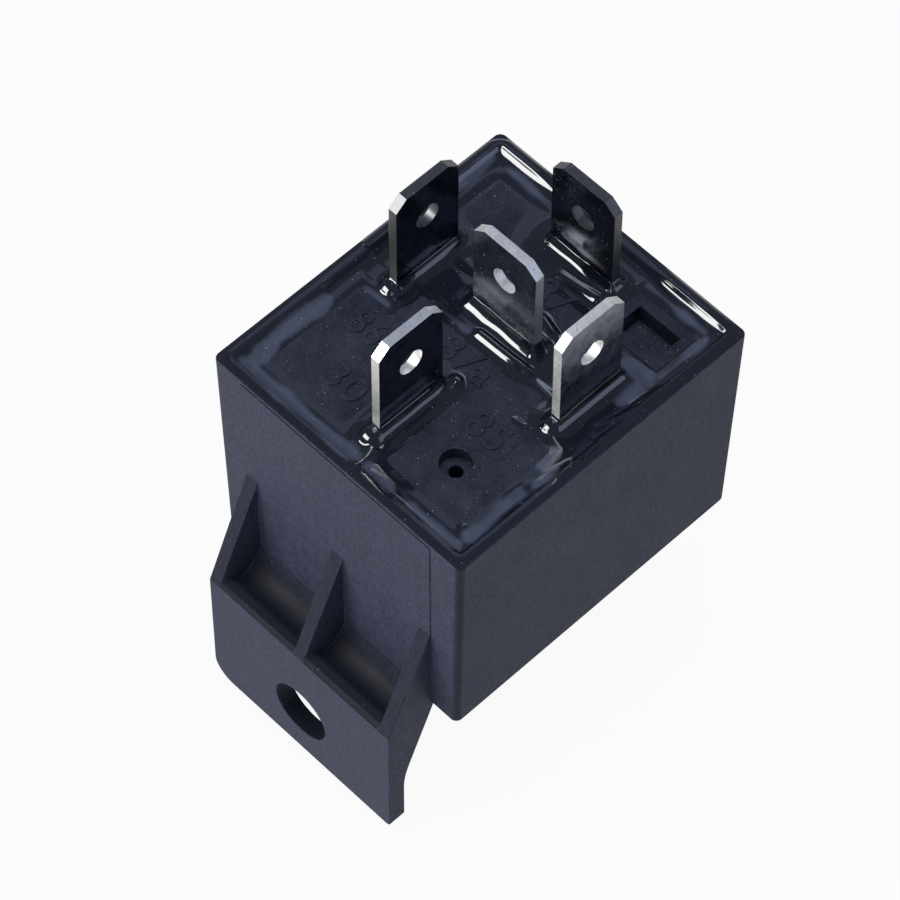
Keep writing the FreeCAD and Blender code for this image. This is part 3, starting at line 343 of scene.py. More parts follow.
def enamelled_copper():
    """Copper magnet wire with polyurethane enamel: warm metal under a clear glossy skin."""
    material, tree, place = new_material("enamelled_copper_wire")
    shade = put(tree, "ShaderNodeTexNoise", {"Scale": per_mm(0.9), "Detail": 3.0}, {"Vector": place})
    body = put(tree, "ShaderNodeValToRGB", links={"Fac": shade.outputs[0]},
               stops=((0.3, "#8a4220"), (0.7, "#c0703c")))
    rough = put(tree, "ShaderNodeMapRange",
                {"From Min": 0.3, "From Max": 0.7, "To Min": 0.22, "To Max": 0.34},
                {"Value": shade.outputs[0]})
    shader = put(tree, "ShaderNodeBsdfPrincipled",
                 {"Metallic": 1.0, "Coat Weight": 0.6, "Coat Roughness": 0.08},
                 {"Base Color": body.outputs[0], "Roughness": rough.outputs[0]})
    put(tree, "ShaderNodeOutputMaterial", links={"Surface": shader.outputs[0]})
    return material


def tin_solder():
    """Tin solder, melted and frozen: bright with a soft crystal haze."""
    material, tree, place = new_material("tin_solder")
    crystal = put(tree, "ShaderNodeTexVoronoi", {"Scale": per_mm(0.16)}, {"Vector": place})
    body = put(tree, "ShaderNodeValToRGB", links={"Fac": crystal.outputs[0]},
               stops=((0.0, "#c6c8c8"), (1.0, "#9b9d9e")))
    rough = put(tree, "ShaderNodeMapRange", {"From Max": 0.7, "To Min": 0.14, "To Max": 0.34},
                {"Value": crystal.outputs[0]})
    bump = put(tree, "ShaderNodeBump", {"Distance": 0.01 * MM}, {"Height": crystal.outputs[0]})
    shader = put(tree, "ShaderNodeBsdfPrincipled", {"Metallic": 1.0},
                 {"Base Color": body.outputs[0], "Roughness": rough.outputs[0], "Normal": bump.outputs[0]})
    put(tree, "ShaderNodeOutputMaterial", links={"Surface": shader.outputs[0]})
    return material


def rolled_bronze():
    """Phosphor bronze strip, cold rolled and etched to shape: pinkish gold with rolling lines."""
    material, tree, place = new_material("phosphor_bronze_strip")
    along = put(tree, "ShaderNodeMapping", {"Scale": (1.0, 0.05, 1.0)}, {"Vector": place})
    lines = put(tree, "ShaderNodeTexNoise", {"Scale": per_mm(0.12), "Detail": 2.0},
                {"Vector": along.outputs[0]})
    heat = put(tree, "ShaderNodeTexNoise", {"Scale": per_mm(3.0), "Detail": 2.0}, {"Vector": place})
    body = put(tree, "ShaderNodeValToRGB", links={"Fac": heat.outputs[0]},
               stops=((0.3, "#a9713f"), (0.7, "#c99a5e")))
    rough = put(tree, "ShaderNodeMapRange",
                {"From Min": 0.3, "From Max": 0.7, "To Min": 0.22, "To Max": 0.36},
                {"Value": lines.outputs[0]})
    bump = put(tree, "ShaderNodeBump", {"Distance": 0.003 * MM}, {"Height": lines.outputs[0]})
    shader = put(tree, "ShaderNodeBsdfPrincipled", {"Metallic": 1.0},
                 {"Base Color": body.outputs[0], "Roughness": rough.outputs[0], "Normal": bump.outputs[0]})
    put(tree, "ShaderNodeOutputMaterial", links={"Surface": shader.outputs[0]})
    return material


def headed_brass():
    """Brass wire, cold headed: smooth yellow metal with faint die marks."""
    material, tree, place = new_material("cold_headed_brass")
    marks = put(tree, "ShaderNodeTexNoise", {"Scale": per_mm(0.3), "Detail": 3.0}, {"Vector": place})
    body = put(tree, "ShaderNodeValToRGB", links={"Fac": marks.outputs[0]},
               stops=((0.3, "#a98a45"), (0.7, "#cdb06a")))
    rough = put(tree, "ShaderNodeMapRange",
                {"From Min": 0.3, "From Max": 0.7, "To Min": 0.2, "To Max": 0.34},
                {"Value": marks.outputs[0]})
    shader = put(tree, "ShaderNodeBsdfPrincipled", {"Metallic": 1.0},
                 {"Base Color": body.outputs[0], "Roughness": rough.outputs[0]})
    put(tree, "ShaderNodeOutputMaterial", links={"Surface": shader.outputs[0]})
    return material


def silver_alloy():
    """Silver tin oxide contact alloy, headed: pale satin metal, slightly sooty."""
    material, tree, place = new_material("silver_tin_oxide_alloy")
    soot = put(tree, "ShaderNodeTexNoise", {"Scale": per_mm(0.5), "Detail": 4.0}, {"Vector": place})
    body = put(tree, "ShaderNodeValToRGB", links={"Fac": soot.outputs[0]},
               stops=((0.35, "#b7b3aa"), (0.7, "#dedbd3")))
    rough = put(tree, "ShaderNodeMapRange",
                {"From Min": 0.3, "From Max": 0.7, "To Min": 0.26, "To Max": 0.42},
                {"Value": soot.outputs[0]})
    bump = put(tree, "ShaderNodeBump", {"Distance": 0.003 * MM}, {"Height": soot.outputs[0]})
    shader = put(tree, "ShaderNodeBsdfPrincipled", {"Metallic": 1.0},
                 {"Base Color": body.outputs[0], "Roughness": rough.outputs[0], "Normal": bump.outputs[0]})
    put(tree, "ShaderNodeOutputMaterial", links={"Surface": shader.outputs[0]})
    return material


FINISHES = {
    "cover_plastic": moulded_pbt(), "base_plastic": moulded_plate(), "epoxy": potting(),
    "tinned_blade": tinned_brass(), "zinc_steel": zinc_plate(), "bobbin_plastic": bobbin_nylon(),
    "copper_wire": enamelled_copper(), "solder": tin_solder(), "spring_bronze": rolled_bronze(),
    "rivet_brass": headed_brass(), "contact_silver": silver_alloy(),
}
SLOT_OF = {part["node"]: part["material_slot"] for part in frame["record"]["subparts"]}
BODY_OF = {node: body for body, nodes in frame["record"]["behaviour"]["bodies"].items() for node in nodes}


# Shapes

def piece(name, mesh, node, smooth_angle, rides=True):
    """Puts a mesh in the scene with its node's finish, on its node's body unless it bends between
    two. Faces that meet at more than the angle keep a sharp edge."""
    made = bpy.data.objects.new(name, mesh)
    bpy.context.scene.collection.objects.link(made)
    mesh.materials.clear()
    mesh.materials.append(FINISHES[SLOT_OF[node]])
    mesh.shade_smooth()
    mesh.set_sharp_from_angle(angle=math.radians(smooth_angle))
    if rides:
        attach(made, BODY_OF[node])
    return made


# Softened pieces: points closer than WELD, in metres, are one. Faces that meet at less than
# FLAT_ANGLE degrees are one, and edges that turn more than EDGE_ANGLE get a radius. UPRIGHT is
# the least part along Z of the direction of an upright edge.
WELD = 1e-6
FLAT_ANGLE = 0.5
EDGE_ANGLE = 30
UPRIGHT = 0.9


def softened(node, edge_mm, name, segments=2, sharp=None, marks=None, along=1.0):
    """A moulded or stamped piece with its real edge radius: the node's facets are merged into
    flat faces, and every edge that turns is rounded, except where sharp says, from the edge's
    middle, that it is a fine step. Edges that don't stand upright are rounded to the share
    along. Marks gives each face a number for the finish, from its normal."""
    mesh = frame["nodes"][node].data.copy()
    shape = bmesh.new()
    shape.from_mesh(mesh)
    bmesh.ops.remove_doubles(shape, verts=shape.verts, dist=WELD)
    bmesh.ops.dissolve_limit(shape, angle_limit=math.radians(FLAT_ANGLE), verts=shape.verts,
                             edges=shape.edges)
    weight = shape.edges.layers.float.new("bevel_weight_edge")
    for edge in shape.edges:
        start, end = (vertex.co for vertex in edge.verts)
        middle = np.array((start + end) / 2) / MM - RIM
        turns = len(edge.link_faces) == 2 and edge.calc_face_angle(0.0) > math.radians(EDGE_ANGLE)
        share = 1.0 if abs((end - start).normalized().z) > UPRIGHT else along
        edge[weight] = share if turns and not (sharp and sharp(middle)) else 0.0
    for mark, value_of in (marks or {}).items():
        layer = shape.faces.layers.float.new(mark)
        for face in shape.faces:
            face[layer] = value_of(face.normal)
    shape.to_mesh(mesh)
    shape.free()
    made = piece(name, mesh, node, EDGE_ANGLE)
    edge = made.modifiers.new("edge_radius", "BEVEL")
    edge.width = edge_mm * MM
    edge.segments = segments
    edge.limit_method = "WEIGHT"
    edge.use_clamp_overlap = True
    flats = made.modifiers.new("flat_faces", "WEIGHTED_NORMAL")
    flats.keep_sharp = True
    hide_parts(node)


def outside(x, y, middle_x, middle_y, half_x, half_y, radius=0.0):
    """Distance from a round-cornered rectangle, in plan, below zero inside it."""
    reach_x = np.abs(x - middle_x) - half_x + radius
    reach_y = np.abs(y - middle_y) - half_y + radius
    beyond = np.hypot(np.maximum(reach_x, 0), np.maximum(reach_y, 0))
    return beyond + np.minimum(np.maximum(reach_x, reach_y), 0) - radius


# Waves: how many, the turn from one to the next in radians, the shortest length and the spread of
# lengths in mm, and the steps by which the seed and the wave's number vary length and phase
WAVES = 5
WAVE_TURN = 2.4
WAVE_SHORTEST = 1.9
WAVE_SPREAD = 1.3
SEED_STEP = 7.3
LENGTH_STEP = 0.62
PHASE_STEP = 1.7


def ripple(x, y, seed):
    """Slow waves for uneven edges: sines of different directions and lengths, averaged. The seed
    picks the pattern."""
    total = np.zeros_like(x)
    for k in range(WAVES):
        angle = seed + WAVE_TURN * k
        length = WAVE_SHORTEST + WAVE_SPREAD * ((seed * SEED_STEP + k * LENGTH_STEP) % 1.0)
        way = x * math.cos(angle) + y * math.sin(angle)
        total += np.sin(way * 2 * math.pi / length + seed * k * PHASE_STEP)
    return total / WAVES


def ease(value):
    """Smooth 0 to 1 as the value goes from 0 to 1."""
    t = np.clip(value, 0, 1)
    return t * t * (3 - 2 * t)


def higher(a, b, blend=0.05):
    """The higher of two surfaces, with the fold between them rounded."""
    return (a + b + np.sqrt((a - b) ** 2 + blend ** 2)) / 2


# Potting: level of the pool and of its film on the fields, width of the shoulder between them,
# height of the waves on the pool, the film's fall inside a field with its width, how far it
# wets the rim, and the flat underside
POOL = -0.42
FILM_LEVEL = ISLAND_LEVEL + 0.012
SHOULDER = 0.75
POOL_WAVE = 0.012
FILM_FALL = 0.035
FILM_FALL_WIDTH = 0.6
WET_HALF_X = COVER_HALF_X - 0.05
WET_HALF_Y = COVER_HALF_Y - 0.05
WET_CORNER = COVER_CORNER - 0.05
POTTING_FLOOR = -1.15
# Potting at the rim: corner of its inner edge, level there, the distance over which the climb to
# it falls to a third, and the roll over the rim with its top, the place of the top, its fall and
# the width of that fall
RIM_INNER_CORNER = 0.4
RIM_LEVEL = 0.0366
RIM_REACH = 0.6
ROLL_LEVEL = 0.06
ROLL_TOP = 0.3
ROLL_FALL = 0.11
ROLL_FALL_WIDTH = 0.65
# Ridges drawn up along the far rim: middle and half length along X, and height. Across the rim
# they fall to nothing at RIDGE_WIDTH.
RIDGES = ((-9.9, 3.4, 0.34), (8.0, 4.0, 0.3))
RIDGE_WIDTH = 1.02
# Moats round the blades that run to the rim: middle and half sizes
MOAT_CORNER = 0.99
MOATS = (
    (-10.65, 2.4, 3.75, 4.25), (10.65, 2.4, 3.75, 4.25), (0.0, -10.0, 1.5, 6.85), (0.0, 12.6, 4.25, 3.4),
)
# How high the potting climbs each blade, and the distance over which that falls to a third. The
# height varies by the share CLIMB_WAVE, and BLADE_CORNER rounds the blade in plan.
CLIMBS = {
    "terminal_30": (1.05, 0.42), "terminal_85": (1.05, 0.42), "terminal_86": (0.9, 0.42),
    "terminal_87": (1.25, 0.68), "terminal_87a": (1.3, 0.62),
}
CLIMB_WAVE = 0.08
BLADE_CORNER = 0.1
# Beads of potting drawn up at the blades' ends and one drop: middle, radius, height above the pool.
# Each is the upper half of an ellipsoid whose middle is BEAD_ROOT below the pool. The last one
# has the pit of a burst bubble.
BEADS = (
    (0.0, -10.9, 1.2, 0.8), (8.4, -1.0, 1.15, 0.75), (-8.4, -0.9, 1.15, 0.75),
    (3.3, 10.65, 0.7, 0.5), (10.1, -11.8, 0.7, 0.26), (0.85, -3.5, 0.95, 0.5),
)
BEAD_ROOT = 0.5
PIT = (1.0, -3.75)
PIT_DEPTH = 0.3
PIT_RADIUS = 0.22
# Strands: round-backed rolls of potting along lines in plan, with half width and height
STRANDS = (
    (((-0.8, 0.75), (2.2, 0.85), (4.0, 1.0)), 0.4, 0.31),
    (((1.3, 5.1), (2.8, 4.7)), 0.3, 0.24),
    (((-0.6, 8.6), (1.2, 8.75), (3.0, 9.0)), 0.4, 0.3),
    (((6.2, -2.6), (7.0, -2.6)), 0.2, 0.17),
    (((0.8, -11.9), (1.15, -13.0), (1.2, -13.6)), 0.45, 0.26),
    (((-7.2, -1.6), (-6.9, -2.5)), 0.22, 0.12),
    (((12.0, 6.4), (11.4, 3.0), (10.9, 1.2)), 0.32, 0.1),
    (((12.0, -2.4), (11.5, -4.2), (10.8, -6.2), (10.6, -7.6)), 0.34, 0.09),
)
# Places with a painted reflection, pale bands that stand in for a lamp mirrored in the potting:
# middle and half sizes. Each reaches a little past its plan, with a slow and a fine wave in its outline, and
# fades out over a width.
PAINTED_REFLECTIONS = (
    (-10.85, -8.4, 0.65, 3.9), (-10.6, -11.6, 0.6, 1.6), (-5.2, -13.2, 6.2, 0.5), (8.6, -13.2, 2.6, 0.35),
    (11.0, -9.4, 0.5, 3.0), (10.4, 5.4, 0.6, 2.1), (9.5, 6.6, 1.6, 0.6), (-11.5, 10.4, 0.45, 2.6),
    (-8.6, 12.75, 3.0, 0.2), (7.6, 12.6, 3.0, 0.2), (10.95, 9.8, 0.3, 2.6), (-8.6, -2.3, 1.3, 0.15),
    (-3.6, 0.3, 2.0, 0.14), (11.3, -4.6, 0.25, 1.3), (3.0, -13.15, 1.5, 0.4), (10.3, -3.2, 0.6, 1.2),
)
REFLECTION_REACH = 0.3
REFLECTION_SLOW_WAVE = 0.4
REFLECTION_FINE_WAVE = 0.15
REFLECTION_FADE = 0.55
# Grid of the poured surface: points along X and Y, and the places where they crowd. A field is
# bare where the surface lies BARE_DEPTH under it, from BARE_INSET inside its edge. The vent and the
# pocket stay open to OPENING_MARGIN past their edges.
GRID_X = 225
GRID_Y = 260
CROWDED_X = (-12.1, -8.4, 0.0, 8.4, 12.1)
CROWDED_Y = (-13.9, -10.8, -4.2, -0.8, 2.3, 5.6, 10.3, 13.9)
BARE_DEPTH = 0.01
BARE_INSET = 0.3
OPENING_MARGIN = 0.1


def from_line(x, y, points):
    """Distance in plan from a line of straight runs: the nearest of its runs, with the place
    along each run held between its ends."""
    nearest = np.full_like(x, np.inf)
    for (x0, y0), (x1, y1) in zip(points, points[1:]):
        span_x, span_y = x1 - x0, y1 - y0
        share = np.clip(((x - x0) * span_x + (y - y0) * span_y) / (span_x ** 2 + span_y ** 2), 0, 1)
        nearest = np.minimum(nearest, np.hypot(x - x0 - share * span_x, y - y0 - share * span_y))
    return nearest


def climbed(x, y):
    """Rise of the potting up the blades: an exponential of the distance from each blade in plan,
    and the highest of the five at each place."""
    rise = np.zeros_like(x)
    for node, (middle_x, middle_y, along_x) in BLADES.items():
        halves = (BLADE_HALF_THICKNESS, BLADE_HALF_WIDTH)
        if along_x:
            halves = halves[::-1]
        gap = np.maximum(outside(x, y, middle_x, middle_y, *halves, BLADE_CORNER), 0)
        height, reach = CLIMBS[node]
        wave = 1 + CLIMB_WAVE * ripple(x, y, seed=1.3)
        rise = np.maximum(rise, height * wave * np.exp(-gap / reach))
    return rise


def from_islands(x, y):
    """Distance from the raised fields: two rectangles less the moats round the blades, and the
    frame of the square pocket."""
    front, back = (outside(x, y, *island, ISLAND_CORNER) for island in ISLANDS)
    fields = np.minimum(front, back)
    for moat in MOATS:
        fields = np.maximum(fields, -outside(x, y, *moat, MOAT_CORNER))
    return np.minimum(fields, outside(x, y, *POCKET, *POCKET_FRAME_HALF))


def painted_reflection_share(x, y):
    """1 in the places with a painted reflection, whose outlines wave, and 0 outside them, with soft edges."""
    spread = np.full_like(x, np.inf)
    for middle_x, middle_y, half_x, half_y in PAINTED_REFLECTIONS:
        spread = np.minimum(spread, outside(x, y, middle_x, middle_y, half_x, half_y, min(half_x, half_y)))
    stretch = 0.5
    slow = REFLECTION_SLOW_WAVE * ripple(stretch * x, stretch * y, seed=2.3)
    fine = REFLECTION_FINE_WAVE * ripple(x, y, seed=1.9)
    return ease((REFLECTION_REACH + slow + fine - spread) / REFLECTION_FADE)


def potting_height(x, y):
    """Height of the poured potting over the plan. A level pool with slow waves rises in a smooth
    shoulder to a thin film at the fields' edges, and the film thins out further in. It climbs the
    rim's inner face and the blades as exponentials and rolls over the rim as a parabola, higher
    at two ridges. Strands are bell-shaped in section, beads are round, and one has a burst bubble's
    pit."""
    over_rim = outside(x, y, 0, 0, COVER_HALF_X - RIM_WALL, COVER_HALF_Y - RIM_WALL, RIM_INNER_CORNER)
    to_field = from_islands(x, y)
    ridge = np.zeros_like(x)
    for middle_x, half_x, height in RIDGES:
        ridge += np.where(y > 0, height * np.exp(-((x - middle_x) / half_x) ** 4), 0)
    z = POOL + POOL_WAVE * ripple(x, y, seed=0.7)
    z = z + (FILM_LEVEL - z) * ease((SHOULDER - to_field) / SHOULDER)
    z = z - np.where(to_field < 0, FILM_FALL * ease(-to_field / FILM_FALL_WIDTH), 0)
    z = z + (RIM_LEVEL + ridge - z) * np.exp(-np.maximum(-over_rim, 0) / RIM_REACH)
    ridge_roll = ridge * (1 - (over_rim / RIDGE_WIDTH) ** 2)
    rim_roll = ROLL_FALL * ((over_rim - ROLL_TOP) / ROLL_FALL_WIDTH) ** 2
    z = np.where(over_rim > 0, ROLL_LEVEL + ridge_roll - rim_roll, z)
    z = z + climbed(x, y)
    for points, half_width, height in STRANDS:
        z = z + height * np.exp(-(from_line(x, y, points) / half_width) ** 2)
    for middle_x, middle_y, radius, height in BEADS:
        span = (x - middle_x) ** 2 + (y - middle_y) ** 2
        bead = POOL - BEAD_ROOT + (height + BEAD_ROOT) * np.sqrt(np.clip(1 - span / radius ** 2, 0, 1))
        z = higher(z, bead)
    return z - PIT_DEPTH * np.exp(-((x - PIT[0]) ** 2 + (y - PIT[1]) ** 2) / PIT_RADIUS ** 2)


def crowded(half, count, middles):
    """Places from -half to half, closer together near the given middles: equal steps of the
    running total of a density, which is 1 plus a bell at each middle."""
    samples = 4000
    bell_height = 1.5
    bell_width = 0.9
    fine = np.linspace(-half, half, samples)
    density = 1 + bell_height * sum(np.exp(-((fine - middle) / bell_width) ** 2) for middle in middles)
    return np.interp(np.linspace(0, density.sum(), count), np.cumsum(density), fine)


def slab(name, top, under, keep, marks=None):
    """Closed slab from two grids of points and the quads kept: the top, the underside turned
    over, and a quad under each edge that only one kept quad has. Marks are numbers for
    the finish, given at each top point."""
    rows, columns = top.shape[:2]
    count = rows * columns
    index = np.arange(count).reshape(rows, columns)
    quads = np.stack([index[:-1, :-1], index[1:, :-1], index[1:, 1:], index[:-1, 1:]], axis=-1)[keep]
    starts = quads.ravel()
    ends = np.roll(quads, -1, axis=1).ravel()
    single = ~np.isin(starts * count + ends, ends * count + starts)
    starts, ends = starts[single], ends[single]
    sides = np.stack([starts, starts + count, ends + count, ends], axis=-1)
    faces = np.vstack([quads, quads[:, ::-1] + count, sides])
    points = np.vstack([top.reshape(-1, 3), under.reshape(-1, 3)])
    used, faces = np.unique(faces, return_inverse=True)
    mesh = bpy.data.meshes.new(name)
    mesh.from_pydata((points[used] * MM).tolist(), [], faces.reshape(-1, 4).tolist())
    for mark, values in (marks or {}).items():
        layer = mesh.attributes.new(mark, "FLOAT", "POINT")
        layer.data.foreach_set("value", np.tile(values.ravel(), 2)[used].astype(np.float32))
    return mesh


def make_potting():
    """The poured surface as a grid over the whole top, with its corners drawn in to the cover's,
    left out where the fields, the vent and the square pocket are bare."""
    across = crowded(WET_HALF_X, GRID_X, CROWDED_X)
    along = crowded(WET_HALF_Y, GRID_Y, CROWDED_Y)
    x, y = np.meshgrid(across, along, indexing="ij")
    past_corner = np.maximum(np.abs(x) - (WET_HALF_X - WET_CORNER), 0)
    corner_y = np.sqrt(np.maximum(WET_CORNER ** 2 - past_corner ** 2, 0))
    y = y * (WET_HALF_Y - WET_CORNER + corner_y) / WET_HALF_Y
    height = potting_height(x, y)
    bare = (height < ISLAND_LEVEL - BARE_DEPTH) & (from_islands(x, y) < -BARE_INSET)
    bare |= outside(x, y, *VENT, VENT_RADIUS, VENT_RADIUS, VENT_RADIUS) < OPENING_MARGIN
    bare |= outside(x, y, *POCKET, *POCKET_HALF) < OPENING_MARGIN
    keep = ~(bare[:-1, :-1] & bare[1:, :-1] & bare[1:, 1:] & bare[:-1, 1:])
    top = np.stack([x, y, height], axis=-1) + RIM
    under = np.stack([x, y, np.full_like(x, POTTING_FLOOR)], axis=-1) + RIM
    # Each point's share of painted reflection goes to the finish as an attribute.
    mesh = slab("potting", top, under, keep, {"painted_reflection": painted_reflection_share(x, y)})
    smooth_angle = 50
    made = piece("potting", mesh, "sealing_resin", smooth_angle)
    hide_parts("sealing_resin")


# Contact spring: its middle line in (y, z), the radius of each bend, half thickness and half
# width, the tip's radius, and the distances from the tip between which it widens from the tip's
# radius to the half width
LEAF_LINE = ((-10.35, -5.4), (-10.35, -12.9), (-11.65, -14.2), (-11.65, -17.71), (10.0, -18.84))
LEAF_BENDS = (0.6, 0.6, 1.0)
LEAF_HALF_THICKNESS = 0.15
LEAF_HALF_WIDTH = 3.6
LEAF_TIP_RADIUS = 1.9
LEAF_TAPER = (3.8, 6.7)
# Its window: levels, and half width as a share of the leaf's
LEAF_WINDOW = (-14.3, -17.2)
LEAF_WINDOW_SHARE = 1.5 / LEAF_HALF_WIDTH
# Rows along the leaf, more rows round its tip, and how near the tip the last one comes. The extra
# rows are spaced by the sine of an angle that ends just short of a quarter turn.
LEAF_ROWS = 150
TIP_ROWS = 12
TIP_GAP = 0.02
TIP_TURN = 1.57
BEND_POINTS = 24
# Points across each leg and across the window
LEG_POINTS = 7
WINDOW_POINTS = 9


def bent_line(points, radii):
    """Line through the points with a round bend at each inner one: every bend is a circle's arc
    that touches both runs. Its centre is on the line that halves the angle between them, at the
    radius over the sine of half that angle."""
    line = [np.array(point) for point in points]
    path = [line[0][None]]
    for before, corner, after, radius in zip(line, line[1:], line[2:], radii):
        back = (before - corner) / np.linalg.norm(before - corner)
        ahead = (after - corner) / np.linalg.norm(after - corner)
        half_angle = math.acos(back @ ahead) / 2
        middle = (back + ahead) / np.linalg.norm(back + ahead)
        centre = corner + middle * radius / math.sin(half_angle)
        across = back - middle * (back @ middle)
        across /= np.linalg.norm(across)
        sweep = np.linspace(math.pi / 2 - half_angle, half_angle - math.pi / 2, BEND_POINTS)[:, None]
        path.append(centre + radius * (across * np.sin(sweep) - middle * np.cos(sweep)))
    return np.vstack(path + [line[-1][None]])


def leaf_half_width(to_tip):
    """Half width of the leaf by distance from its tip: a circle's first and then a straight taper."""
    half = np.interp(to_tip, LEAF_TAPER, (LEAF_TIP_RADIUS, LEAF_HALF_WIDTH))
    round_tip = np.sqrt(np.maximum(LEAF_TIP_RADIUS ** 2 - (LEAF_TIP_RADIUS - to_tip) ** 2, 0))
    return np.where(to_tip < LEAF_TIP_RADIUS, round_tip, half)


def make_leaf():
    """Contact spring: a strip carried along the bent line, with a window between its two hinge
    legs. It rides on no body."""
    line = bent_line(LEAF_LINE, LEAF_BENDS)
    run = np.concatenate([[0], np.cumsum(np.linalg.norm(np.diff(line, axis=0), axis=1))])
    window = np.interp(np.negative(LEAF_WINDOW), -line[:, 1], run)
    rows = np.linspace(0, run[-1] - TIP_GAP, LEAF_ROWS)
    tip_turns = np.linspace(0, TIP_TURN, TIP_ROWS)
    tip_rows = run[-1] - LEAF_TIP_RADIUS + (LEAF_TIP_RADIUS - TIP_GAP) * np.sin(tip_turns)
    places = np.sort(np.concatenate([rows, tip_rows, window]))
    leg = np.linspace(LEAF_WINDOW_SHARE, 1, LEG_POINTS)
    across_window = np.linspace(-LEAF_WINDOW_SHARE, LEAF_WINDOW_SHARE, WINDOW_POINTS)
    share = np.concatenate([-leg[::-1], across_window[1:], leg[1:]])
    y, z = (np.interp(places, run, line[:, axis]) for axis in (0, 1))
    way_y, way_z = (np.gradient(value, places) for value in (y, z))
    length = np.hypot(way_y, way_z)
    x = share[None, :] * leaf_half_width(run[-1] - places)[:, None]
    faces = []
    for side in (-1, 1):
        face_y = y - side * LEAF_HALF_THICKNESS * way_z / length
        face_z = z + side * LEAF_HALF_THICKNESS * way_y / length
        faces.append(np.stack(np.broadcast_arrays(x, face_y[:, None], face_z[:, None]), axis=-1) + RIM)
    middle = (places[1:] + places[:-1]) / 2
    between = np.abs(share[1:] + share[:-1]) / 2 < LEAF_WINDOW_SHARE
    keep = ~(((middle > window[0]) & (middle < window[1]))[:, None] & between[None, :])
    mesh = slab("contact_leaf", *faces, keep)
    made = piece("contact_leaf", mesh, "contact_spring", EDGE_ANGLE, rides=False)
    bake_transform(made)
    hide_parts("contact_spring")


# Raised numbers: text, middle in plan and width, then their shared height in plan, thickness and
# the level of their middle
NUMBERS = (
    ("86", -7.0, -4.6, 2.9), ("30", -4.6, -9.1, 3.4), ("87a", 0.1, -1.5, 4.9), ("85", 5.5, -4.7, 3.3),
    ("87", 0.5, 7.0, 3.1),
)
NUMBER_HEIGHT = 2.35
NUMBER_THICKNESS = 0.2
NUMBER_LEVEL = ISLAND_LEVEL + 0.04


def make_numbers():
    """Raised terminal numbers on the plate: flat bold letters with soft edges, set along X."""
    smooth_angle = 40
    for text, middle_x, middle_y, width in NUMBERS:
        curve = bpy.data.curves.new("number_" + text, "FONT")
        curve.body = text
        # Lengths as shares of the letters' size, which the scaling below undoes
        curve.size = 1.0
        curve.offset = -0.012
        curve.extrude = 0.01
        curve.bevel_depth = 0.02
        curve.bevel_resolution = 2
        letter = bpy.data.objects.new("letters", curve)
        mesh = bpy.data.meshes.new_from_object(letter)
        bpy.data.objects.remove(letter)
        points = np.zeros(len(mesh.vertices) * 3, np.float32)
        mesh.vertices.foreach_get("co", points)
        points = points.reshape(-1, 3).astype(float)
        low, high = points.min(0), points.max(0)
        points = (points - (low + high) / 2) / (high - low) * (width, NUMBER_HEIGHT, NUMBER_THICKNESS)
        points = points + (middle_x, middle_y, NUMBER_LEVEL)
        mesh.vertices.foreach_set("co", ((points + RIM) * MM).astype(np.float32).ravel())
        mesh.update()
        piece("number_" + text, mesh, "base", smooth_angle)


# Cover: radius of its moulded edges and the steps in it, and the slightly proud field of the
# bracket wall with its half width, the range of Y of its side steps, its face, the range of levels
# of its top step, and how near its half width a side step's edge lies
COVER_EDGE = 0.16
COVER_EDGE_STEPS = 3
FIELD_HALF_X = 9.8
FIELD_SIDE_Y = (-14.95, -14.0)
FIELD_FACE_Y = -14.5
FIELD_TOP_Z = (-0.4, -0.2)
FIELD_MARGIN = 0.05


def on_field_edge(middle):
    """True on the fine steps round the slightly proud field of the bracket wall."""
    x, y, z = middle
    by_side = abs(abs(x) - FIELD_HALF_X) < FIELD_MARGIN and FIELD_SIDE_Y[0] < y < FIELD_SIDE_Y[1]
    by_top = abs(x) < FIELD_HALF_X and y < FIELD_FACE_Y and FIELD_TOP_Z[0] < z < FIELD_TOP_Z[1]
    return by_side or by_top


# How dark the painted shade makes the cover's ledges and corner rounds, and how fast each shade
# grows as a face turns that way
LEDGE_SHADE = 0.9
LEDGE_GROWTH = 1.4
CORNER_SHADE = 0.65
CORNER_GROWTH = 2.2


def painted_shade_share(normal):
    """How much painted shade a cover face gets where it looks this way: most on ledges, which look
    up, and partly on the upright corner rounds, which look between X and Y."""
    ledge = min(1.0, max(0.0, LEDGE_GROWTH * normal.z))
    corner = min(1.0, CORNER_GROWTH * abs(normal.x * normal.y))
    return min(1.0, LEDGE_SHADE * ledge + CORNER_SHADE * corner)


# Plate and blades: edge radii. A blade's edges are rounded in more steps, and less across its top.
# A face that looks less than SHEARED_BELOW along the broad faces' normal is a sheared edge.
PLATE_EDGE = 0.05
BLADE_EDGE = 0.26
BLADE_EDGE_STEPS = 3
BLADE_TOP_SHARE = 0.35
SHEARED_BELOW = 0.6


def make_blades():
    """The five blades, with their narrow faces marked as sheared and each with its own frost and
    share of painted highlight on its edges."""
    for node, (_, _, runs_along_x) in BLADES.items():
        broad = 1 if runs_along_x else 0
        frost, sheen = BLADE_FROST_AND_EDGE_HIGHLIGHT[node]
        # Each blade's share of painted highlight on its sheared edges goes to the finish as an attribute.
        marks = {
            "sheared": lambda normal: 1.0 if abs(normal[broad]) < SHEARED_BELOW else 0.0,
            "frosted": lambda normal: frost,
            "bright": lambda normal: sheen,
        }
        softened(node, BLADE_EDGE, node + "_blade", BLADE_EDGE_STEPS, marks=marks, along=BLADE_TOP_SHARE)


# Inner pieces that keep their CAD shape
INNER_NODES = (
    "yoke", "core", "bobbin", "coil_winding", "lead_solder", "armature", "yoke_rivets", "armature_rivets",
    "moving_contact", "no_contact", "nc_contact",
)


def finish_inner_nodes():
    """Gives the inner pieces their materials and leaves their shape alone."""
    for node in INNER_NODES:
        data = frame["nodes"][node].data
        data.materials.clear()
        data.materials.append(FINISHES[SLOT_OF[node]])


# Floor, light and camera

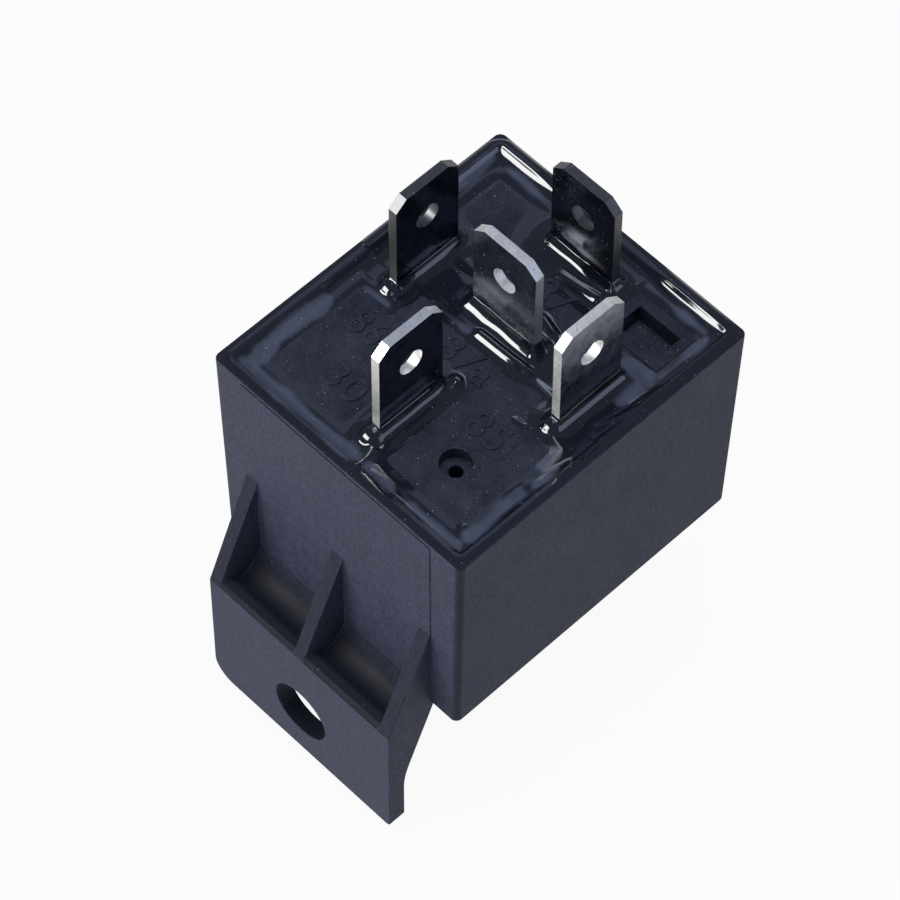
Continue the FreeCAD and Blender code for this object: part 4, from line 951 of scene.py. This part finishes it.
# The sheet: half size and gap under the part in metres, and how white it is where it is seen
FLOOR_HALF = 1.5
FLOOR_GAP = 0.0002
FLOOR_WHITE = 0.94


def make_floor():
    """Plain pale sheet under the part. Seen directly it is near white, and it keeps the shadow."""
    level = cad_box[0][2] - FLOOR_GAP
    corners = [(x * FLOOR_HALF, y * FLOOR_HALF, level) for x, y in ((-1, -1), (1, -1), (1, 1), (-1, 1))]
    mesh = bpy.data.meshes.new("floor")
    mesh.from_pydata(corners, [], [(0, 1, 2, 3)])
    floor = bpy.data.objects.new("floor", mesh)
    bpy.context.scene.collection.objects.link(floor)
    material = bpy.data.materials.new("matt_white_sheet")
    material.use_nodes = True
    tree = material.node_tree
    tree.nodes.clear()
    sheet = put(tree, "ShaderNodeBsdfDiffuse", {"Color": linear("#a2a2a2")})
    white = put(tree, "ShaderNodeEmission", {"Strength": 1.0})
    ray = put(tree, "ShaderNodeLightPath")
    seen = put(tree, "ShaderNodeMath", operation="MAXIMUM",
               links={0: ray.outputs["Is Camera Ray"], 1: ray.outputs["Is Glossy Ray"]})
    seen = put(tree, "ShaderNodeMath", operation="MAXIMUM",
               links={0: seen.outputs[0], 1: ray.outputs["Is Transmission Ray"]})
    share = put(tree, "ShaderNodeMath", {1: FLOOR_WHITE}, {0: seen.outputs[0]}, operation="MULTIPLY")
    mix = put(tree, "ShaderNodeMixShader",
              links={"Fac": share.outputs[0], 1: sheet.outputs[0], 2: white.outputs[0]})
    put(tree, "ShaderNodeOutputMaterial", links={"Surface": mix.outputs[0]})
    mesh.materials.append(material)


def soft_light(name, direction, distance, sizes, power, colour, lights_matt=True, shines=True):
    """Soft box that faces the part from a direction, with its long side along X. It lights matt
    surfaces, shows in glossy ones, or both."""
    light = bpy.data.lights.new(name, "AREA")
    light.shape = "RECTANGLE"
    light.size, light.size_y = sizes
    light.energy = power
    light.color = linear(colour)[:3]
    lamp = bpy.data.objects.new(name, light)
    bpy.context.scene.collection.objects.link(lamp)
    way = Vector(direction).normalized()
    side = (Vector((1, 0, 0)) - way * way.x).normalized()
    turned = Matrix((side, way.cross(side), way)).transposed()
    lamp.matrix_world = Matrix.LocRotScale(Vector(RIM * MM) + way * distance, turned, None)
    lamp.visible_camera = False
    lamp.visible_diffuse = lights_matt
    lamp.visible_glossy = shines


def make_lights():
    """One long box to mirror in the potting, two that light only matt surfaces from the front and
    above, a weak one behind, and one that mirrors in slopes on the right. Sizes are in metres and
    power is in watts."""
    soft_light("strip", (-0.39, -0.70, 0.60), 0.55, (0.5, 0.22), 5.4, "#ffffff", lights_matt=False)
    soft_light("front", (-0.25, -0.9, 0.36), 0.6, (0.7, 0.7), 3.9, "#f6f8ff", shines=False)
    soft_light("top", (0.0, 0.05, 1.0), 0.5, (0.25, 0.25), 3.0, "#ffffff", shines=False)
    soft_light("window", (-0.5, 0.5, 0.7), 0.5, (0.2, 0.2), 0.06, "#c8d4ff")
    soft_light("side", (0.8, 0.39, 0.45), 0.55, (0.25, 0.25), 0.35, "#d0dcff", lights_matt=False)


def make_world():
    """Dim bluish room round the lamps, which the camera sees as white."""
    world = bpy.data.worlds.new("studio")
    bpy.context.scene.world = world
    world.use_nodes = True
    tree = world.node_tree
    tree.nodes.clear()
    back = put(tree, "ShaderNodeBackground", {"Color": linear("#ccd7f8"), "Strength": 0.3})
    white = put(tree, "ShaderNodeBackground", {"Strength": 1.0, "Color": linear("#fdfdfd")})
    ray = put(tree, "ShaderNodeLightPath")
    mix = put(tree, "ShaderNodeMixShader",
              links={"Fac": ray.outputs["Is Camera Ray"], 1: back.outputs[0], 2: white.outputs[0]})
    put(tree, "ShaderNodeOutputWorld", links={"Surface": mix.outputs[0]})


# Camera, fitted to the photograph: turn about Z, lift and roll in degrees, the rim's middle seen
# from it in mm (right, down, ahead), focal length in pixels, and the picture's width in pixels
CAMERA_TURN = 45.41
CAMERA_LIFT = 56.88
CAMERA_ROLL = -0.32
RIM_FROM_CAMERA = (2.24, -7.61, 344.1)
FOCAL_PIXELS = 4733
PICTURE_PIXELS = 900
SENSOR_MM = 36.0


def make_camera():
    """Camera at the photograph's angle. Its axes come from the turn and the lift, and the roll
    then turns right and down about the line of sight."""
    turn, lift, roll = (math.radians(v) for v in (CAMERA_TURN, CAMERA_LIFT, CAMERA_ROLL))
    forward = np.array([-math.sin(turn) * math.cos(lift), math.cos(turn) * math.cos(lift), -math.sin(lift)])
    level_right = np.array([math.cos(turn), math.sin(turn), 0.0])
    level_down = np.cross(forward, level_right)
    right = level_right * math.cos(roll) + level_down * math.sin(roll)
    down = level_down * math.cos(roll) - level_right * math.sin(roll)
    rows = np.array([right, down, forward])
    place = (RIM - rows.T @ RIM_FROM_CAMERA) * MM
    data = bpy.data.cameras.new("camera")
    data.sensor_width = SENSOR_MM
    data.lens = FOCAL_PIXELS / PICTURE_PIXELS * SENSOR_MM
    data.clip_start = 0.01
    camera = bpy.data.objects.new("camera", data)
    bpy.context.scene.collection.objects.link(camera)
    matrix = Matrix.Identity(4)
    for row in range(3):
        matrix[row] = (right[row], -down[row], -forward[row], place[row])
    camera.matrix_world = matrix
    bpy.context.scene.camera = camera


make_potting()
make_leaf()
make_numbers()
softened("cover", COVER_EDGE, "cover_shell", COVER_EDGE_STEPS, on_field_edge, {"painted_shade": painted_shade_share})
softened("base", PLATE_EDGE, "terminal_plate")
make_blades()
finish_inner_nodes()
make_floor()
make_world()
make_lights()
make_camera()
bpy.context.scene.view_settings.view_transform = "Standard"
